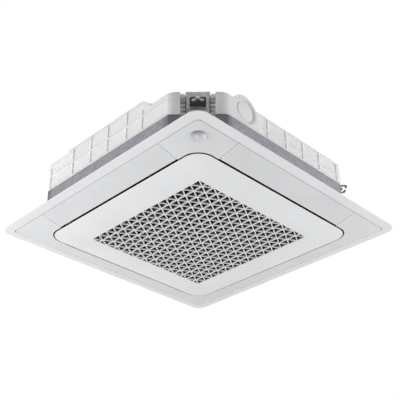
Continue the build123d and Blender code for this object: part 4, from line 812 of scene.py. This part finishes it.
def end_tree(tree, made, output, finish):
    """Turn the copies into real faces, give them their finish and end the tree."""
    real = add_node(tree, "GeometryNodeRealizeInstances", {0: made})
    coated = add_node(tree, "GeometryNodeSetMaterial",
                      {"Geometry": real.outputs[0], "Material": finishes[finish]})
    tree.links.new(coated.outputs[0], output.inputs[0])


# %% Run a tree
def grow(tree, base, **sizes):
    """The plain mesh that a tree makes from a base mesh, with these sizes."""
    holder = bpy.data.objects.new(tree.name, base)
    bpy.context.collection.objects.link(holder)
    modifier = holder.modifiers.new("grow", "NODES")
    modifier.node_group = tree
    for socket in tree.interface.items_tree:
        if socket.in_out == "INPUT" and socket.name in sizes:
            modifier[socket.identifier] = sizes[socket.name]
    return plain_mesh(holder)


def bare_mesh(name, points=(), lines=()):
    """A mesh of points and lines that a tree can start from."""
    made = bpy.data.meshes.new(name)
    made.from_pydata([tuple(point) for point in points], list(lines), [])
    return made


# %% Small steps inside a tree
def vector(tree, x=0.0, y=0.0, z=0.0):
    """A vector of three numbers or sockets."""
    return add_node(tree, "ShaderNodeCombineXYZ", {"X": x, "Y": y, "Z": z}).outputs[0]


def moved(tree, shape, **changes):
    """A shape that is moved, turned or scaled."""
    return add_node(tree, "GeometryNodeTransform", {"Geometry": shape, **changes}).outputs[0]


def copies(tree, points, shape, **changes):
    """A copy of a shape on each point."""
    return add_node(tree, "GeometryNodeInstanceOnPoints",
                    {"Points": points, "Instance": shape, **changes}).outputs[0]


def block(tree, x, y, z):
    """A block of these sizes."""
    return add_node(tree, "GeometryNodeMeshCube", {"Size": vector(tree, x, y, z)}).outputs["Mesh"]


# %% [markdown]
# ## The heat exchanger
#
# A ring of thin aluminium fins stands round the fan, and copper tubes run through them. The model
# holds the ring as one block. Here a rounded square path is divided into steps of one fin pitch,
# and a thin upright plate is set across the path at each step. The ring is open at the service
# corner, where its tubes turn round and leave, so the plates there are deleted. The real pitch is
# 1.4 mm. It is 1.9 mm here, which looks the same and keeps the face count low.

# %% Tree of fins
path_corner_steps = 24

tree, given, output = new_tree("fin_ring", Half=0.3, Radius=0.07, Pitch=0.002, Depth=0.04, Height=0.1,
                               Thickness=0.0002, Low=0.0, Opening=0.2)
side = number(tree, "MULTIPLY", given["Half"], 2.0)
square = add_node(tree, "GeometryNodeCurvePrimitiveQuadrilateral", {"Width": side, "Height": side})
rounded = add_node(tree, "GeometryNodeFilletCurve", {
    "Curve": square.outputs[0], "Radius": given["Radius"], "Count": path_corner_steps}, mode="POLY")
steps = add_node(tree, "GeometryNodeCurveToPoints", {
    "Curve": rounded.outputs[0], "Length": given["Pitch"]}, mode="LENGTH")
position = add_node(tree, "GeometryNodeInputPosition").outputs[0]
here = add_node(tree, "ShaderNodeSeparateXYZ", {0: position})
past = [number(tree, "GREATER_THAN", here.outputs[axis], given["Opening"]) for axis in ("X", "Y")]
kept = add_node(tree, "GeometryNodeDeleteGeometry", {
    "Geometry": steps.outputs["Points"], "Selection": number(tree, "MULTIPLY", *past)}, domain="POINT")
across = add_node(tree, "FunctionNodeAlignRotationToVector", {"Vector": steps.outputs["Tangent"]},
                  axis="X", pivot_axis="Z")
fin = block(tree, given["Thickness"], given["Depth"], given["Height"])
fins = copies(tree, kept.outputs[0], fin, Rotation=across.outputs[0])
middle = number(tree, "MULTIPLY_ADD", given["Height"], 0.5, given["Low"])
end_tree(tree, moved(tree, fins, Translation=vector(tree, z=middle)), output, "fins")
print("the tree of fins has", len(tree.nodes), "nodes")

# %% Fins
coil_low, coil_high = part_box("coil_fins")
coil_half = coil_high.x
coil_depth = 0.044
coil_corner_radius = 0.1
coil_opening = 0.215
fin_pitch = 0.0019
fin_thickness = 0.00025

fin_mesh = grow(tree, bare_mesh("fin_base"), Half=coil_half - coil_depth / 2,
                Radius=coil_corner_radius - coil_depth / 2, Pitch=fin_pitch, Depth=coil_depth,
                Height=coil_high.z - coil_low.z, Thickness=fin_thickness, Low=coil_low.z,
                Opening=coil_opening)
join_unit("coil_fin_ring", fin_mesh, "unit", "fins", "coil_fins")

# %% [markdown]
# ## The filter's net
#
# The model holds the net as a thin plate. The real one is woven from fine threads, and light gets
# through it to the fan. One tree lays a row of square threads and crosses it with a turned copy.

# %% Tree of threads
cross_rise = 0.4

tree, given, output = new_tree("net", Side=0.5, Threads=10, Width=0.0005, Height=0.0)
gap = number(tree, "DIVIDE", given["Side"], given["Threads"])
start = number(tree, "MULTIPLY_ADD", given["Side"], -0.5, number(tree, "MULTIPLY", gap, 0.5))
row = add_node(tree, "GeometryNodeMeshLine", {
    "Count": given["Threads"], "Start Location": vector(tree, x=start), "Offset": vector(tree, x=gap)})
thread = block(tree, given["Width"], given["Side"], given["Width"])
threads = copies(tree, row.outputs[0], thread)
rise = number(tree, "MULTIPLY", given["Width"], cross_rise)
turned = moved(tree, threads, Rotation=(0, 0, pi / 2), Translation=vector(tree, z=rise))
crossed = add_node(tree, "GeometryNodeJoinGeometry")
tree.links.new(threads, crossed.inputs[0])
tree.links.new(turned, crossed.inputs[0])
lifted = moved(tree, crossed.outputs[0], Translation=vector(tree, z=given["Height"]))
end_tree(tree, lifted, output, "filter_net")
print("the tree of threads has", len(tree.nodes), "nodes")

# %% Net
net_low, net_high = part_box("filter_mesh")
net_side = net_high.x - net_low.x
net_pitch = 0.0024
thread_width = 0.00055

net_mesh = grow(tree, bare_mesh("net_base"), Side=net_side, Threads=round(net_side / net_pitch),
                Width=thread_width, Height=(net_low.z + net_high.z) / 2)
join_unit("filter_net", net_mesh, "grille", "filter_net", "filter_mesh")

# %% [markdown]
# ## Screws
#
# The model's screws are plain. A real one has a hexagonal head with its corners turned off, on a
# washer pressed from the same steel. The places and directions are read from the model's pieces,
# one point for each screw, and a tree sets a whole screw on each point, turned to its direction.


# %% Tell separate solids apart
def islands(shape):
    """The places of the points that hang together, one list for each separate solid."""
    found = set()
    for first in shape.verts:
        if first in found:
            continue
        island, newest = set(), {first}
        while newest:
            island |= newest
            newest = {edge.other_vert(vertex) for vertex in newest for edge in vertex.link_edges} - island
        found |= island
        yield [vertex.co.copy() for vertex in sorted(island, key=lambda vertex: vertex.index)]


# %% Find the screws
def screw_points(node, facing):
    """Where the screws of a node end, which way they face, and how long and wide they are."""
    shape = whole_copy(node)
    places, lengths, radii = [], [], []
    for points in islands(shape):
        middle = sum(points, Vector()) / len(points)
        axis = facing(middle)
        reach = [point.dot(axis) for point in points]
        from_middle = [point - middle for point in points]
        places.append((middle + axis * (max(reach) - middle.dot(axis)), axis))
        lengths.append(max(reach) - min(reach))
        radii.append(max((offset - axis * offset.dot(axis)).length for offset in from_middle))
    shape.free()
    return places, min(lengths), min(radii)


def outward(place):
    """Level and away from the unit's axis, along the nearest diagonal."""
    return Vector((1 if place.x > 0 else -1, 1 if place.y > 0 else -1, 0)).normalized()


def downward(place):
    """Straight down, wherever the screw is."""
    return Vector((0, 0, -1))


# %% Tree of screws
washer_sides, shank_sides = 24, 12
hexagon_share, chamfer_share = 0.84, 0.84

tree, given, output = new_tree("screws", Radius=0.005, Length=0.01, Head=0.003, Washer=0.001,
                               Chamfer=0.0005, Shank=0.002)
radius, length, head, washer, chamfer, shank = (
    given[label] for label in ("Radius", "Length", "Head", "Washer", "Chamfer", "Shank"))
hexagon = number(tree, "MULTIPLY", radius, hexagon_share)
hexagon_top = number(tree, "MULTIPLY", hexagon, chamfer_share)
straight = number(tree, "SUBTRACT", number(tree, "SUBTRACT", head, washer), chamfer)
below_head = number(tree, "SUBTRACT", length, head)
stack = (
    (washer_sides, radius, radius, washer, number(tree, "MULTIPLY", head, -1.0)),
    (6, hexagon, hexagon, straight, number(tree, "SUBTRACT", washer, head)),
    (6, hexagon, hexagon_top, chamfer, number(tree, "MULTIPLY", chamfer, -1.0)),
    (shank_sides, shank, shank, below_head, number(tree, "MULTIPLY", length, -1.0)),
)
whole_screw = add_node(tree, "GeometryNodeJoinGeometry")
for sides, lower, upper, height, start in stack:
    cone = add_node(tree, "GeometryNodeMeshCone", {
        "Vertices": sides, "Radius Bottom": lower, "Radius Top": upper, "Depth": height})
    placed = moved(tree, cone.outputs[0], Translation=vector(tree, z=start))
    tree.links.new(placed, whole_screw.inputs[0])
named = add_node(tree, "GeometryNodeInputNamedAttribute", {"Name": "axis"}, data_type="FLOAT_VECTOR")
upright = add_node(tree, "FunctionNodeAlignRotationToVector", {"Vector": named.outputs[0]}, axis="Z")
spread = copies(tree, given["Geometry"], whole_screw.outputs[0], Rotation=upright.outputs[0])
end_tree(tree, spread, output, "screw_steel")
print("the tree of screws has", len(tree.nodes), "nodes")

# %% Screws
head_height = 0.0036
washer_thickness = 0.001
chamfer_height = 0.0007
shank_share = 0.42
screw_kinds = {"bracket_screws": outward, "panel_screws": downward, "bell_mouth_screws": downward}

for node, facing in screw_kinds.items():
    places, length, radius = screw_points(node, facing)
    points = bare_mesh(f"{node}_points", [place for place, axis in places])
    directions = points.attributes.new("axis", "FLOAT_VECTOR", "POINT")
    for index, (place, axis) in enumerate(places):
        directions.data[index].vector = axis
    screws = grow(tree, points, Radius=radius, Length=length, Head=head_height, Washer=washer_thickness,
                  Chamfer=chamfer_height, Shank=radius * shank_share)
    join_unit(f"{node}_hexagonal", screws, body_of(node), "screw_steel", node)

# %% [markdown]
# ## Beads pressed into the lid
#
# A large flat sheet rattles, so beads are pressed into it: shallow ridges in closed loops. Here the
# lid's flat part is lowered a little, so that the ridges end at the height that the model gives it.
# A tree rounds the corners of each loop and sweeps a flattened circle along it.

# %% Tree of beads
loop_corner_steps = 10

tree, given, output = new_tree("beads", Width=0.01, Height=0.001, Fillet=0.05, Sides=12, Level=0.0)
paths = add_node(tree, "GeometryNodeMeshToCurve", {"Mesh": given["Geometry"]})
rounded = add_node(tree, "GeometryNodeFilletCurve", {
    "Curve": paths.outputs[0], "Radius": given["Fillet"], "Count": loop_corner_steps}, mode="POLY")
upright = add_node(tree, "GeometryNodeSetCurveNormal", {"Curve": rounded.outputs[0]}, mode="Z_UP")
circle = add_node(tree, "GeometryNodeCurvePrimitiveCircle", {"Resolution": given["Sides"], "Radius": 1.0})
flattened = moved(tree, circle.outputs[0], Scale=vector(tree, given["Width"], given["Height"], 1.0))
ridges = add_node(tree, "GeometryNodeCurveToMesh", {
    "Curve": upright.outputs[0], "Profile Curve": flattened})
lifted = moved(tree, ridges.outputs[0], Translation=vector(tree, z=given["Level"]))
end_tree(tree, lifted, output, "galvanised")
print("the tree of beads has", len(tree.nodes), "nodes")


# %% Make loops
def rectangle(near_x, near_y, far_x, far_y):
    """The four corners of an upright rectangle."""
    return [(near_x, near_y), (far_x, near_y), (far_x, far_y), (near_x, far_y)]


def closed_loops(name, loops):
    """A mesh of closed loops of lines."""
    points, lines = [], []
    for loop in loops:
        first = len(points)
        points += [(x, y, 0.0) for x, y in loop]
        lines += [(first + step, first + (step + 1) % len(loop)) for step in range(len(loop))]
    return bare_mesh(name, points, lines)


# %% Loops that the beads follow
frame_bead_half, frame_bead_radius = 0.315, 0.07
motor_bead_radius, motor_bead_steps = 0.185, 48
pad_near, pad_far, pad_half_length, pad_radius = 0.215, 0.285, 0.13, 0.025

frame_loop = rectangle(-frame_bead_half, -frame_bead_half, frame_bead_half, frame_bead_half)
turns = [2 * pi * step / motor_bead_steps for step in range(motor_bead_steps)]
motor_loop = [(motor_bead_radius * cos(turn), motor_bead_radius * sin(turn)) for turn in turns]
pads = [
    rectangle(pad_near, -pad_half_length, pad_far, pad_half_length),
    rectangle(-pad_far, -pad_half_length, -pad_near, pad_half_length),
    rectangle(-pad_half_length, pad_near, pad_half_length, pad_far),
    rectangle(-pad_half_length, -pad_far, pad_half_length, -pad_near),
]
bead_loops = {
    "lid_frame_bead": ([frame_loop], frame_bead_radius),
    "lid_motor_bead": ([motor_loop], 0.0),
    "lid_pad_beads": (pads, pad_radius),
}
print(sum(len(loops) for loops, radius in bead_loops.values()), "closed beads")

# %% Lid and beads
lid_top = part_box("top_plate")[1].z
bead_height = 0.0012
bead_half_width = 0.0045
bead_sides = 16
bead_level = lid_top - bead_height


def lid_mesh():
    """The lid with its flat part lowered by the height of a bead."""
    shape = whole_copy("top_plate")
    for vertex in shape.verts:
        if vertex.co.z > lid_top - bead_height / 2:
            vertex.co.z = bead_level
    made = bpy.data.meshes.new("lid")
    shape.to_mesh(made)
    shape.free()
    return made


for name, (loops, fillet) in bead_loops.items():
    beads = grow(tree, closed_loops(name, loops), Width=bead_half_width, Height=bead_height,
                 Fillet=fillet, Sides=bead_sides, Level=bead_level)
    beads.shade_smooth()
    join_unit(name, beads, "unit", "galvanised")
join_unit("lid", lid_mesh(), "unit", "galvanised", "top_plate")
print("the beads end at", round(lid_top, 4), "where the model's lid does")
